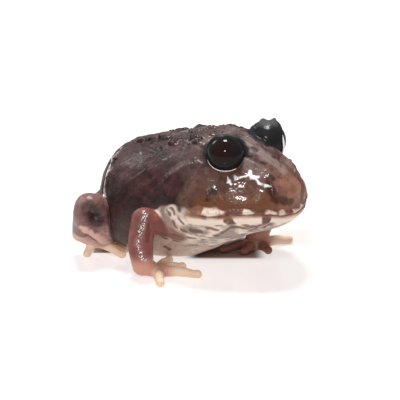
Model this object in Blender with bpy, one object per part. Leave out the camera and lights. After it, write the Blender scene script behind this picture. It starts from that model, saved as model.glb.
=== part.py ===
"""A young South American horned frog, sitting with its head raised: the solids of its body, life size.

The frog faces +X, its left side is +Y and the floor is z = 0. Shapes are worked out in millimetres,
measured from a point on the floor under the middle of the body. At the end they are scaled to metres,
and the middle of the flat on which the belly rests becomes the origin.
"""

import math
import random

import bmesh
import bpy
import numpy as np
from mathutils import Matrix, Vector

METRES_PER_MM = 0.001
GAP = 0.3  # free space that touching pieces keep between them
REST_POINT = (-7.0, 0.0, 0.0)
RIGHT, LEFT = -1, 1
SIDE_NAMES = {RIGHT: "right", LEFT: "left"}

# Trunk, from rump to snout: x, half width, lowest, widest and highest height, squareness of the upper
# and lower half of each cross-section (2 is an ellipse), and how much it narrows towards the top.
TRUNK_STATIONS = [
    (-20.5, 0.0, 11.0, 11.5, 12.0, 2.0, 2.0, 0.0),
    (-19.6, 5.2, 5.6, 11.0, 16.2, 2.0, 2.0, 0.0),
    (-17.0, 10.0, 1.6, 10.2, 19.0, 2.1, 2.1, 0.0),
    (-12.0, 14.2, -0.4, 9.2, 21.0, 2.1, 2.2, 0.0),
    (-6.0, 15.4, -0.6, 9.4, 22.8, 2.0, 2.1, 0.0),
    (-1.0, 14.6, 0.2, 10.2, 24.1, 2.0, 1.9, 0.04),
    (4.0, 13.8, 3.0, 12.0, 24.9, 2.1, 1.9, 0.12),
    (9.0, 12.8, 5.6, 12.9, 24.8, 2.3, 2.0, 0.28),
    (13.0, 10.7, 7.6, 13.3, 23.0, 2.4, 2.1, 0.32),
    (16.6, 8.0, 9.0, 13.8, 20.7, 2.6, 2.2, 0.22),
    (18.9, 5.6, 10.1, 14.2, 19.0, 2.7, 2.3, 0.12),
    (20.1, 3.4, 11.3, 14.6, 17.8, 2.5, 2.3, 0.0),
    (20.6, 0.0, 13.4, 15.0, 16.2, 2.0, 2.0, 0.0),
]
TRUNK_RINGS = 44
TRUNK_SIDES = 44
TRUNK_CORE_HEIGHT = 11.0  # a height that lies well inside the trunk all along it

# Mouth line, seen from the side: x and height, from the corner of the jaws to the front of the snout.
MOUTH_LINE = [(7.0, 12.6), (10.0, 12.6), (13.0, 12.8), (17.0, 13.2), (19.4, 13.0), (20.3, 12.5), (24.0, 12.3)]
LIP_RADIUS = 0.5
LIP_OFFSET = 0.55
LIP_SUNK = 0.2
LIP_POINTS = 33
LIP_SIDES = 6

# Where the trunk is parted: the neck runs from the corner of the jaws up to the nape and down to the
# throat. Cutting regions reach beyond the frog on every side.
NAPE = (-2.0, 27.0)
THROAT_FOLD = (2.0, -2.0)
CUT_FAR, CUT_HIGH, CUT_LOW = 30.0, 45.0, -8.0
CUT_HALF_WIDTH = 60.0

# Eyes, nostrils and lids.
EYE_CENTRE = (9.7, 5.6, 22.7)
EYE_RADIUS = 3.35
EYE_AXIS = (0.40, 0.80, 0.40)
LID_THICKNESS = 0.32
LID_OPENING_COS = 0.36
HORN_DIRECTION = (-0.1, 0.42, 0.9)
HORN_RADIUS = 1.1
HORN_HEIGHT = 1.3
HORN_SUNK = 0.5
HORN_TIP_SHARE = 0.18
NOSTRIL = (17.2, 2.9, 19.9)
NOSTRIL_BUMP = 0.95
NOSTRIL_DIRECTION = (0.45, 0.75, 0.5)
NOSTRIL_HOLE = 0.38
NOSTRIL_DEPTH = 0.3

# Limbs: joints at their centre, with radii across and along the up direction.
RIGHT_ARM = {
    "shoulder": (2.2, -9.0, 8.2),
    "elbow": (-0.6, -16.0, 10.6),
    "forearm": (-1.0, -16.3, 5.9),
    "wrist": (-0.6, -16.2, 2.2),
}
LEFT_ARM = {
    "shoulder": (2.2, 9.0, 8.2),
    "elbow": (1.8, 16.6, 9.8),
    "forearm": (2.6, 13.8, 5.6),
    "wrist": (3.6, 10.4, 2.4),
}
RIGHT_LEG = {
    "hip": (-15.5, -6.0, 8.0),
    "thigh": (-14.4, -11.4, 6.8),
    "knee": (-12.6, -17.3, 10.5),
    "heel": (-17.0, -15.2, 4.2),
}
LEFT_LEG = {
    "hip": (-15.5, 6.0, 8.0),
    "thigh": (-14.0, 11.6, 6.8),
    "knee": (-12.2, 17.5, 10.3),
    "heel": (-16.6, 15.6, 4.2),
}
UPPER_ARM_RADII = (2.4, 2.3)
ELBOW_RADIUS = 2.2
FOREARM_RADII = (2.2, 2.3)
WRIST_RADIUS = 2.0
THIGH_RADII = (4.3, 4.9)
KNEE_RADIUS = 2.8
SHANK_RADII = (2.4, 2.6)
HEEL_RADIUS = 1.6
CALF_SHARE = 0.4  # how far down the shank its thickest place lies
TUBE_SIDES = 10
DOME_DEGREES = (30, 60)

# Digits: where each tip lies on the floor, from the first digit to the last.
RIGHT_FINGER_TIPS = [(-1.9, -7.9), (2.2, -8.9), (7.1, -10.2), (5.2, -17.9)]
LEFT_FINGER_TIPS = [(1.4, 3.2), (5.0, 4.9), (7.9, 8.2), (6.9, 15.2)]
RIGHT_TOE_TIPS = [(-16.8, -9.4), (-14.4, -8.5), (-11.9, -8.9), (-10.4, -11.3), (-15.4, -15.2)]
LEFT_TOE_TIPS = [(-16.4, 9.8), (-14.0, 9.0), (-11.5, 9.4), (-9.9, 12.0), (-14.6, 15.8)]
FINGER_RADIUS = 0.9
TOE_RADIUS = 0.72
DIGIT_TIP_RADIUS = 0.72
DIGIT_HEIGHT = 0.64
DIGIT_ARCH = 0.22
DIGIT_ROOT = 0.9
DIGIT_SPREAD = 0.08
DIGIT_WAIST = 0.92
DIGIT_TIP_START = 0.88
DIGIT_SIDES = 8
HAND_SHARE = 0.42
HAND_HEIGHT = 0.95
FOOT_SHARE = 0.45
FOOT_HEIGHT = 2.4
HAND_RADII = [(1.9, 1.8), (2.3, 1.5), (2.5, 1.1)]
FOOT_RADII = [(1.5, 1.5), (1.5, 1.4), (1.9, 1.1)]
FLOOR_CUT_DEPTH = 6.0

# Colours, with the roughness of each surface.
SKIN_BACK = (0.105, 0.058, 0.058, 1.0), 0.35
SKIN_SNOUT = (0.20, 0.095, 0.065, 1.0), 0.3
SKIN_THROAT = (0.62, 0.48, 0.42, 1.0), 0.4
SKIN_LIMB = (0.36, 0.14, 0.11, 1.0), 0.35
SKIN_DIGIT = (0.62, 0.40, 0.28, 1.0), 0.4
LID_BLACK = (0.02, 0.02, 0.022, 1.0), 0.2
EYE_BLACK = (0.004, 0.003, 0.003, 1.0), 0.03

# Warts: rows by their angle round the back, with the number in each, and how much each one varies.
WART_SEED = 7
WART_SIDES = 6
WART_ROWS = [(46.0, 6), (62.0, 8), (76.0, 8)]
WART_FIRST_X, WART_LAST_X = -15.5, 3.0
WART_X_SHIFT = 0.5
WART_DEGREES_SHIFT = 6.0
WART_RADII = (0.55, 0.95)
WART_STRETCH = (1.2, 2.4)
WART_HEIGHT_SHARE = 0.6
WART_SHOULDER = 0.72, 0.45  # its width and its height there, as shares of the foot and of the whole height
WART_ROOT_DEPTH, WART_FOOT_DEPTH = 0.8, 0.5


def clear_scene():
    for obj in list(bpy.data.objects):
        bpy.data.objects.remove(obj, do_unlink=True)


def skin_material(name, look):
    colour, roughness = look
    material = bpy.data.materials.new(name)
    material.use_nodes = True
    shader = material.node_tree.nodes["Principled BSDF"]
    shader.inputs["Base Color"].default_value = colour
    shader.inputs["Roughness"].default_value = roughness
    shader.inputs["Metallic"].default_value = 0.0
    return material


def smooth_through(keys, values, at):
    """Cubic Hermite curve through values at rising keys, with tangents from the neighbouring points."""
    keys = np.asarray(keys, float)
    values = np.asarray(values, float)
    slopes = np.gradient(values, keys, axis=0)
    at = np.clip(np.asarray(at, float), keys[0], keys[-1])
    i = np.clip(np.searchsorted(keys, at, side="right") - 1, 0, len(keys) - 2)
    span = keys[i + 1] - keys[i]
    s = (at - keys[i]) / span
    if values.ndim > 1:
        s = s[..., None]
        span = span[..., None]
    from_first = (2 * s**3 - 3 * s**2 + 1) * values[i] + (s**3 - 2 * s**2 + s) * span * slopes[i]
    from_next = (3 * s**2 - 2 * s**3) * values[i + 1] + (s**3 - s**2) * span * slopes[i + 1]
    return from_first + from_next


# The trunk is lofted over an angle that runs from the rump to the snout, so that both ends close round.
TRUNK_TABLE = np.array(TRUNK_STATIONS)
RUMP_X, SNOUT_X = TRUNK_TABLE[0, 0], TRUNK_TABLE[-1, 0]
TRUNK_MIDDLE = (RUMP_X + SNOUT_X) / 2
TRUNK_HALF_LENGTH = (SNOUT_X - RUMP_X) / 2
TRUNK_ANGLES = np.arccos((TRUNK_MIDDLE - TRUNK_TABLE[:, 0]) / TRUNK_HALF_LENGTH)


def trunk_point(x, around):
    """Point of the trunk's surface. The angle is 0 at the right flank and a quarter turn at the crest."""
    angle = math.acos(max(-1.0, min(1.0, (TRUNK_MIDDLE - x) / TRUNK_HALF_LENGTH)))
    section = smooth_through(TRUNK_ANGLES, TRUNK_TABLE[:, 1:], angle)
    width, low, middle, high, upper_n, lower_n, taper = section
    c, s = math.cos(around), math.sin(around)
    n = upper_n if s > 0 else lower_n
    up = math.copysign(abs(s) ** (2 / n), s)
    across = math.copysign(abs(c) ** (2 / n), c) * width * (1 - taper * max(up, 0))
    rise = up * (high - middle if s > 0 else middle - low)
    return Vector((x, -across, middle + rise))


def trunk_normal(x, around):
    step = 0.02
    along = trunk_point(x + step * 10, around) - trunk_point(x - step * 10, around)
    over = trunk_point(x, around + step) - trunk_point(x, around - step)
    normal = over.cross(along).normalized()
    outward = trunk_point(x, around) - Vector((x, 0, TRUNK_CORE_HEIGHT))
    return normal if normal.dot(outward) > 0 else -normal


def object_from(name, bm):
    bmesh.ops.recalc_face_normals(bm, faces=bm.faces)
    mesh = bpy.data.meshes.new(name)
    bm.to_mesh(mesh)
    bm.free()
    obj = bpy.data.objects.new(name, mesh)
    bpy.context.scene.collection.objects.link(obj)
    return obj


def skin_rings(name, rings, first_point=None, last_point=None):
    """A closed body over a list of rings of equal length, ended by a point or a flat cap."""
    bm = bmesh.new()
    loops = [[bm.verts.new(p) for p in ring] for ring in rings]
    for a, b in zip(loops, loops[1:]):
        for i in range(len(a)):
            j = (i + 1) % len(a)
            bm.faces.new((a[i], a[j], b[j], b[i]))
    for loop, point in ((loops[0], first_point), (loops[-1], last_point)):
        if point is None:
            bm.faces.new(loop)
            continue
        end = bm.verts.new(point)
        for i in range(len(loop)):
            bm.faces.new((loop[i], loop[(i + 1) % len(loop)], end))
    return object_from(name, bm)


def make_trunk():
    angles = np.linspace(0, math.pi, TRUNK_RINGS + 2)[1:-1]
    rings = []
    for angle in angles:
        x = TRUNK_MIDDLE - TRUNK_HALF_LENGTH * math.cos(angle)
        turns = (2 * math.pi * i / TRUNK_SIDES for i in range(TRUNK_SIDES))
        rings.append([trunk_point(x, turn) for turn in turns])
    rump = Vector((RUMP_X, 0, TRUNK_TABLE[0, 3]))
    snout = Vector((SNOUT_X, 0, TRUNK_TABLE[-1, 3]))
    return skin_rings("trunk", rings, rump, snout)


def tube(name, points, radii, sides=TUBE_SIDES, round_start=False, round_end=False):
    """A closed tube through the points, each with a radius across and one upwards. Round ends are domes."""
    path = [Vector(p) for p in points]
    sizes = [(r, r) if isinstance(r, (int, float)) else r for r in radii]
    rings = []
    last = len(path) - 1

    def ring(centre, tangent, size):
        across = tangent.cross(Vector((0, 0, 1)))
        if across.length < 0.2:
            across = tangent.cross(Vector((1, 0, 0)))
        across.normalize()
        upward = across.cross(tangent).normalized()
        turns = [2 * math.pi * i / sides for i in range(sides)]
        return [centre + across * size[0] * math.cos(t) + upward * size[1] * math.sin(t) for t in turns]

    def dome(centre, tangent, size, outward):
        reach = (size[0] + size[1]) / 2
        for degrees in DOME_DEGREES if outward else reversed(DOME_DEGREES):
            t = math.radians(degrees)
            shift = tangent * reach * math.sin(t) * (1 if outward else -1)
            rings.append(ring(centre + shift, tangent, (size[0] * math.cos(t), size[1] * math.cos(t))))
        return centre + tangent * reach * (1 if outward else -1)

    start_point = end_point = None
    for i, centre in enumerate(path):
        tangent = (path[min(i + 1, last)] - path[max(i - 1, 0)]).normalized()
        if i == 0 and round_start:
            start_point = dome(centre, tangent, sizes[i], outward=False)
        rings.append(ring(centre, tangent, sizes[i]))
        if i == last and round_end:
            end_point = dome(centre, tangent, sizes[i], outward=True)
    return skin_rings(name, rings, start_point, end_point)


def curve_points(points, count):
    keys = np.arange(len(points))
    return smooth_through(keys, points, np.linspace(0, len(points) - 1, count))


def curved_tube(name, points, radii, count, **options):
    """A tube whose path and radii run smoothly through a few given ones."""
    pairs = [(r, r) if isinstance(r, (int, float)) else r for r in radii]
    path = [Vector(p) for p in curve_points([tuple(p) for p in points], count)]
    sizes = [tuple(p) for p in curve_points(pairs, count)]
    return tube(name, path, sizes, **options)


def ball(name, centre, radius, segments=24, rings=14, axis=(0, 0, 1)):
    bm = bmesh.new()
    bmesh.ops.create_uvsphere(bm, u_segments=segments, v_segments=rings, radius=radius)
    turn = Vector(axis).to_track_quat("Z", "Y").to_matrix().to_4x4()
    bm.transform(Matrix.Translation(centre) @ turn)
    return object_from(name, bm)


def cone(name, base, direction, radius, height, sides=8):
    bm = bmesh.new()
    tip_radius = radius * HORN_TIP_SHARE
    bmesh.ops.create_cone(bm, cap_ends=True, segments=sides, depth=height, radius1=radius, radius2=tip_radius)
    turn = Vector(direction).to_track_quat("Z", "Y").to_matrix().to_4x4()
    bm.transform(Matrix.Translation(Vector(base) + Vector(direction).normalized() * height / 2) @ turn)
    return object_from(name, bm)


def prism(name, outline):
    """A slab whose outline is drawn in x and z, and which runs across the frog."""
    rings = [[Vector((x, y, z)) for x, z in outline] for y in (-CUT_HALF_WIDTH, CUT_HALF_WIDTH)]
    return skin_rings(name, rings)


def apply_modifiers(obj):
    graph = bpy.context.evaluated_depsgraph_get()
    mesh = bpy.data.meshes.new_from_object(obj.evaluated_get(graph))
    obj.modifiers.clear()
    obj.data = mesh


def boolean(obj, tool, operation, solver="EXACT"):
    modifier = obj.modifiers.new("boolean", "BOOLEAN")
    modifier.operation = operation
    modifier.solver = solver
    modifier.object = tool
    apply_modifiers(obj)
    return obj


def join(obj, pieces):
    """One union of the object with closed pieces, which are then removed."""
    holder = bpy.data.collections.new("pieces")
    bpy.context.scene.collection.children.link(holder)
    for piece in pieces:
        holder.objects.link(piece)
    modifier = obj.modifiers.new("union", "BOOLEAN")
    modifier.operation = "UNION"
    modifier.solver = "EXACT"
    modifier.operand_type = "COLLECTION"
    modifier.collection = holder
    apply_modifiers(obj)
    for piece in pieces:
        bpy.data.objects.remove(piece, do_unlink=True)
    bpy.data.collections.remove(holder)
    return obj


def copy_of(obj, name):
    twin = bpy.data.objects.new(name, obj.data.copy())
    bpy.context.scene.collection.objects.link(twin)
    return twin


def grown(obj, by=GAP):
    """A copy whose surface stands off by the gap that touching meshes keep."""
    twin = copy_of(obj, obj.name + "_grown")
    bm = bmesh.new()
    bm.from_mesh(twin.data)
    bm.normal_update()
    moved = [(v, v.co + v.normal * by) for v in bm.verts]
    for v, place in moved:
        v.co = place
    bm.to_mesh(twin.data)
    bm.free()
    return twin


def cut_back(obj, *others, by=GAP):
    for other in others:
        tool = grown(other, by)
        boolean(obj, tool, "DIFFERENCE")
        bpy.data.objects.remove(tool, do_unlink=True)
    return obj


def volume_of(faces):
    """Signed volume inside a closed set of faces."""
    total = 0.0
    for face in faces:
        first = face.verts[0].co
        for a, b in zip(face.verts[1:], face.verts[2:]):
            total += first.dot(a.co.cross(b.co)) / 6
    return total


def keep_largest(obj):
    """Leaves only the largest closed surface of a mesh."""
    bm = bmesh.new()
    bm.from_mesh(obj.data)
    unseen = set(bm.verts)
    groups = []
    while unseen:
        group, frontier = set(), [unseen.pop()]
        while frontier:
            v = frontier.pop()
            group.add(v)
            near = {e.other_vert(v) for e in v.link_edges} & unseen
            unseen -= near
            frontier.extend(near)
        groups.append(group)
    groups.sort(key=lambda g: volume_of({f for v in g for f in v.link_faces}))
    for group in groups[:-1]:
        bmesh.ops.delete(bm, geom=list(group), context="VERTS")
    bm.to_mesh(obj.data)
    bm.free()
    return obj


def flatten_on_floor(obj):
    """Cuts off what reaches under the floor, which leaves a small flat where the piece rests."""
    outline = [(-CUT_FAR, -FLOOR_CUT_DEPTH), (CUT_FAR, -FLOOR_CUT_DEPTH), (CUT_FAR, 0.0), (-CUT_FAR, 0.0)]
    under = prism("under_floor", outline)
    if min(v.co.z for v in obj.data.vertices) < 0:
        boolean(obj, under, "DIFFERENCE")
    bpy.data.objects.remove(under, do_unlink=True)
    return obj


# Head details, added to the trunk before it is parted.
def mouth_height(x):
    xs, zs = zip(*MOUTH_LINE)
    return float(smooth_through(xs, zs, x))


def lip(name, offset):
    """A rounded rim that runs round the jaws just above or below the mouth line."""
    points = []
    for degrees in np.linspace(-90, 90, LIP_POINTS):
        reach = math.cos(math.radians(degrees))
        x = MOUTH_LINE[0][0] + (SNOUT_X - MOUTH_LINE[0][0]) * reach
        edge = trunk_point(min(x, SNOUT_X), 0.0)
        side = -1 if degrees < 0 else 1
        points.append(Vector((x, side * abs(edge.y), mouth_height(x) + offset)))
    inward = [(p * (1 - LIP_SUNK / max(p.xy.length, 1))).xy.to_3d() + Vector((0, 0, p.z)) for p in points]
    return tube(name, inward, [LIP_RADIUS] * len(inward), sides=LIP_SIDES, round_start=True, round_end=True)


def nostril_bump(side):
    return ball("nostril_bump", mirrored(NOSTRIL, side), NOSTRIL_BUMP, segments=10, rings=6)


def nostril_hole(side):
    direction = mirrored(NOSTRIL_DIRECTION, side).normalized()
    inside = mirrored(NOSTRIL, side) - direction * NOSTRIL_DEPTH
    return cone("nostril_hole", inside, direction, NOSTRIL_HOLE, NOSTRIL_BUMP * 3, sides=6)


def wart(x, around, radius, height, stretch):
    """A low pointed wart with its root sunk in the skin, drawn out along the body."""
    foot = trunk_point(x, around)
    normal = trunk_normal(x, around)
    along = (Vector((1, 0, 0)) - normal * normal.x).normalized()
    over = normal.cross(along)
    rings = []
    shoulder_width, shoulder_height = WART_SHOULDER
    for share, level in ((1.0, -WART_FOOT_DEPTH), (shoulder_width, height * shoulder_height)):
        ring = []
        for i in range(WART_SIDES):
            t = 2 * math.pi * i / WART_SIDES
            flat = along * math.cos(t) * radius * share * stretch + over * math.sin(t) * radius * share
            ring.append(foot + flat + normal * level)
        rings.append(ring)
    return skin_rings("wart", rings, foot - normal * WART_ROOT_DEPTH, foot + normal * height)


def torso_warts():
    """Rows of dark warts that stand up along both sides of the back."""
    draw = random.Random(WART_SEED)
    warts = []
    for row_degrees, count in WART_ROWS:
        for side in (RIGHT, LEFT):
            for i in range(count):
                x = WART_FIRST_X + (WART_LAST_X - WART_FIRST_X) * (i + 0.5) / count
                x += draw.uniform(-WART_X_SHIFT, WART_X_SHIFT)
                degrees = row_degrees + draw.uniform(-WART_DEGREES_SHIFT, WART_DEGREES_SHIFT)
                around = math.radians(degrees if side == RIGHT else 180 - degrees)
                radius = draw.uniform(*WART_RADII)
                warts.append(wart(x, around, radius, radius * WART_HEIGHT_SHARE, draw.uniform(*WART_STRETCH)))
    return warts


# The trunk is parted by three regions, drawn from the side: torso, head above the mouth, jaw below it.
def region_outlines():
    half = GAP / 2
    corner_x, corner_z = MOUTH_LINE[0]
    far, high, low = CUT_FAR, CUT_HIGH, CUT_LOW

    def on_line(start, end, z):
        return start[0] + (end[0] - start[0]) * (z - start[1]) / (end[1] - start[1])

    nape_x = on_line((corner_x, corner_z), NAPE, high)
    throat_x = on_line((corner_x, corner_z), THROAT_FOLD, low)
    mouth = [(x, mouth_height(x)) for x in np.linspace(corner_x, MOUTH_LINE[-1][0], 9)]
    mouth.append((far, mouth[-1][1]))
    head = [(nape_x + half, high), (corner_x + half, corner_z + half)]
    head += [(x, z + half) for x, z in mouth[1:]] + [(far, high)]
    jaw = [(throat_x + half, low), (far, low)]
    jaw += [(x, z - half) for x, z in reversed(mouth[1:])] + [(corner_x + half, corner_z - half)]
    torso = [(-far, low), (throat_x - half, low), (corner_x - half, corner_z)]
    torso += [(nape_x - half, high), (-far, high)]
    return {"head": head, "lower_jaw": jaw, "torso": torso}


def part_trunk(trunk):
    pieces = {}
    for name, outline in region_outlines().items():
        region = prism("region", outline)
        piece = copy_of(trunk, name)
        boolean(piece, region, "INTERSECT")
        bpy.data.objects.remove(region, do_unlink=True)
        pieces[name] = keep_largest(piece)
    return pieces


def mirrored(point, side):
    x, y, z = point
    return Vector((x, side * y, z))


def make_eye(side):
    centre, axis = mirrored(EYE_CENTRE, side), mirrored(EYE_AXIS, side)
    return ball("eye_" + SIDE_NAMES[side], centre, EYE_RADIUS, axis=axis)


def make_lid(side, head):
    """The black lid: a shell behind the plane of the eye's opening, with a rim and the low horn on top."""
    centre, axis = mirrored(EYE_CENTRE, side), mirrored(EYE_AXIS, side).normalized()
    outer = EYE_RADIUS + GAP + LID_THICKNESS
    lid = ball("eyelid_" + SIDE_NAMES[side], centre, outer, segments=20, rings=12, axis=axis)
    upward = mirrored(HORN_DIRECTION, side).normalized()
    join(lid, [cone("horn", centre + upward * (outer - HORN_SUNK), upward, HORN_RADIUS, HORN_HEIGHT)])
    opening = cone("opening", centre + axis * outer * LID_OPENING_COS, axis, outer * 2, outer * 2, sides=16)
    hollow = ball("hollow", centre, EYE_RADIUS + GAP, axis=axis)
    for tool in (opening, hollow):
        boolean(lid, tool, "DIFFERENCE")
        bpy.data.objects.remove(tool, do_unlink=True)
    cut_back(lid, head)
    return keep_largest(lid)


def between(a, b, share):
    return Vector(a).lerp(Vector(b), share)


def finish(obj, material, root=REST_POINT):
    """Smooth shading, the material, the origin at the piece's root, and the scale to metres."""
    keep_largest(obj)
    mesh = obj.data
    mesh.transform(Matrix.Scale(METRES_PER_MM, 4) @ Matrix.Translation(-Vector(root)))
    obj.location = (Vector(root) - Vector(REST_POINT)) * METRES_PER_MM
    mesh.materials.clear()
    mesh.materials.append(material)
    mesh.shade_smooth()
    mesh.set_sharp_from_angle(angle=math.radians(40))


def boxes_meet(a, b):
    """Whether the boxes round two meshes overlap."""
    places = [np.array([v.co for v in obj.data.vertices]) for obj in (a, b)]
    lows = [p.min(axis=0) for p in places]
    highs = [p.max(axis=0) for p in places]
    return bool(np.all(lows[0] < highs[1]) and np.all(lows[1] < highs[0]))


def carve(pieces, trunk_cutter):
    """Cuts each piece clear of the trunk and of every piece before it, and flat where it meets the floor.

    The exact solver loses a toe whose neighbour runs almost beside it, so these cuts use the manifold one.
    """
    cutters = [trunk_cutter]
    for piece in pieces:
        own = grown(piece)
        for cutter in cutters:
            if boxes_meet(piece, cutter):
                boolean(piece, cutter, "DIFFERENCE", solver="MANIFOLD")
        cutters.append(own)
        flatten_on_floor(piece)
    for cutter in cutters[1:]:
        bpy.data.objects.remove(cutter, do_unlink=True)
    return pieces


def make_arm(side, joints, tips, trunk_cutter):
    """Upper arm, forearm, hand and four fingers."""
    word = SIDE_NAMES[side]
    shoulder, elbow, middle, wrist = (Vector(joints[k]) for k in ("shoulder", "elbow", "forearm", "wrist"))
    upper = curved_tube("upper_arm_" + word, [shoulder, between(shoulder, elbow, 0.5), elbow],
                        [UPPER_ARM_RADII, UPPER_ARM_RADII, ELBOW_RADIUS], 7, round_end=True)
    forearm = curved_tube("forearm_" + word, [elbow, middle, wrist],
                          [ELBOW_RADIUS, FOREARM_RADII, WRIST_RADIUS], 8, round_start=True, round_end=True)
    knuckles = palm_end(wrist, tips, HAND_SHARE, HAND_HEIGHT)
    hand = curved_tube("hand_" + word, [wrist, between(wrist, knuckles, 0.5), knuckles],
                       HAND_RADII, 6, round_end=True)
    fingers = make_digits("finger_" + word, knuckles, tips, FINGER_RADIUS)
    return carve([upper, forearm, hand] + fingers, trunk_cutter)


def make_leg(side, joints, tips, trunk_cutter):
    """Thigh, shank, foot and five toes."""
    word = SIDE_NAMES[side]
    hip, middle, knee, heel = (Vector(joints[k]) for k in ("hip", "thigh", "knee", "heel"))
    thigh = curved_tube("thigh_" + word, [hip, middle, knee],
                        [THIGH_RADII, THIGH_RADII, KNEE_RADIUS], 8, round_end=True)
    shank = curved_tube("shank_" + word, [knee, between(knee, heel, CALF_SHARE), heel],
                        [KNEE_RADIUS, SHANK_RADII, HEEL_RADIUS], 8, round_start=True, round_end=True)
    knuckles = palm_end(heel, tips, FOOT_SHARE, FOOT_HEIGHT)
    foot = curved_tube("foot_" + word, [heel, between(heel, knuckles, 0.5), knuckles],
                       FOOT_RADII, 6, round_end=True)
    toes = make_digits("toe_" + word, knuckles, tips, TOE_RADIUS)
    return carve([thigh, shank, foot] + toes, trunk_cutter)


def palm_end(root, tips, share, height):
    """Where the digits fan out: part of the way from the wrist or heel to the middle of the tips."""
    middle = sum((Vector((x, y, DIGIT_HEIGHT)) for x, y in tips), Vector()) / len(tips)
    end = between(root, middle, share)
    end.z = height
    return end


def make_digits(name, knuckles, tips, radius):
    """Blunt fingers or toes that start side by side in the palm, arch a little and lie flat on the floor."""
    digits = []
    for i, tip in enumerate(tips):
        end = Vector((*tip, DIGIT_HEIGHT))
        heading = (end - knuckles).normalized()
        across = Vector((-heading.y, heading.x, 0))
        fan = (i - (len(tips) - 1) / 2) * DIGIT_SPREAD
        start = knuckles + heading * DIGIT_ROOT - across * fan
        middle = between(start, end, 0.5) + Vector((0, 0, DIGIT_ARCH))
        near_tip = between(start, end, DIGIT_TIP_START)
        radii = [radius, radius * DIGIT_WAIST, DIGIT_TIP_RADIUS * DIGIT_WAIST, DIGIT_TIP_RADIUS]
        path = [start, middle, near_tip, end]
        digits.append(curved_tube(f"{name}_{i + 1}", path, radii, 8, sides=DIGIT_SIDES, round_end=True))
    return digits


def main():
    clear_scene()
    back = skin_material("skin_back", SKIN_BACK)
    snout = skin_material("skin_snout", SKIN_SNOUT)
    throat = skin_material("skin_throat", SKIN_THROAT)
    limb = skin_material("skin_limb", SKIN_LIMB)
    digit = skin_material("skin_digit", SKIN_DIGIT)
    lid_black = skin_material("lid_black", LID_BLACK)
    eye_black = skin_material("eye_black", EYE_BLACK)

    trunk = make_trunk()
    full = copy_of(trunk, "full_trunk")
    details = [lip("upper_lip", LIP_OFFSET), lip("lower_lip", -LIP_OFFSET)]
    details += [nostril_bump(side) for side in (RIGHT, LEFT)] + torso_warts()
    join(full, details)
    eyes = {side: make_eye(side) for side in (RIGHT, LEFT)}
    for side, eye in eyes.items():
        cut_back(full, eye)
        hole = nostril_hole(side)
        boolean(full, hole, "DIFFERENCE")
        bpy.data.objects.remove(hole, do_unlink=True)
    trunk_parts = part_trunk(full)
    flatten_on_floor(trunk_parts["torso"])
    flatten_on_floor(trunk_parts["lower_jaw"])
    lids = {side: make_lid(side, trunk_parts["head"]) for side in (RIGHT, LEFT)}

    trunk_cutter = grown(trunk)
    limbs = make_arm(RIGHT, RIGHT_ARM, RIGHT_FINGER_TIPS, trunk_cutter)
    limbs += make_arm(LEFT, LEFT_ARM, LEFT_FINGER_TIPS, trunk_cutter)
    limbs += make_leg(RIGHT, RIGHT_LEG, RIGHT_TOE_TIPS, trunk_cutter)
    limbs += make_leg(LEFT, LEFT_LEG, LEFT_TOE_TIPS, trunk_cutter)

    finish(trunk_parts["torso"], back)
    finish(trunk_parts["head"], snout)
    finish(trunk_parts["lower_jaw"], throat)
    for side in (RIGHT, LEFT):
        finish(eyes[side], eye_black, mirrored(EYE_CENTRE, side))
        finish(lids[side], lid_black, mirrored(EYE_CENTRE, side))
    for obj in limbs:
        finish(obj, digit if obj.name.startswith(("finger", "toe")) else limb)
    for helper in (trunk, trunk_cutter, full):
        bpy.data.objects.remove(helper, do_unlink=True)


main()
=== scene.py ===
import bpy, bmesh, math, random
import numpy as np
from mathutils import Matrix, Vector
from mathutils.kdtree import KDTree


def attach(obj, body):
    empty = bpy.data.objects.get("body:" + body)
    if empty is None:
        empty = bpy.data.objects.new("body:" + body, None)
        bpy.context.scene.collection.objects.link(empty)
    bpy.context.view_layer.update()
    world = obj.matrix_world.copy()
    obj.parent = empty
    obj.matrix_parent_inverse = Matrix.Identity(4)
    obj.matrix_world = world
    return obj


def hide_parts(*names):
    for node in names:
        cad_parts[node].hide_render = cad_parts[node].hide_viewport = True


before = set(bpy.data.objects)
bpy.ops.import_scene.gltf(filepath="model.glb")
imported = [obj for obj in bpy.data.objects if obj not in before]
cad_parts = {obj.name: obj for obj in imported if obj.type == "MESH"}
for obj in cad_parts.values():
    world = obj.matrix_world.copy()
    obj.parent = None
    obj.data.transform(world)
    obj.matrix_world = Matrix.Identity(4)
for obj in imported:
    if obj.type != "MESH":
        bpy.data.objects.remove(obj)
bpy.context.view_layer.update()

# The camera looks down on the frog's right front from half a metre away, as the photo does. From here on,
# sizes are in millimetres from the floor under the middle of the body, at ORIGIN_PIXEL in the picture, and
# REST_POINT is the origin of the frame.
MM = 0.001
REST_POINT = Vector((-7.0, 0.0, 0.0))
PICTURE_SIZE, PIXELS_PER_MM, ORIGIN_PIXEL = 400, 5.48, (206.0, 255.0)
CAMERA_TURN, CAMERA_RISE, CAMERA_DISTANCE = math.radians(42), math.radians(18), 500.0
SENSOR_WIDTH = 36.0


def in_frame(point):
    """A point of the frog in the frame's metres."""
    return (Vector(point) - REST_POINT) * MM


def placed(name, data):
    """A new object of the scene."""
    made = bpy.data.objects.new(name, data)
    bpy.context.scene.collection.objects.link(made)
    made.rotation_mode = "QUATERNION"
    return made


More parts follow.
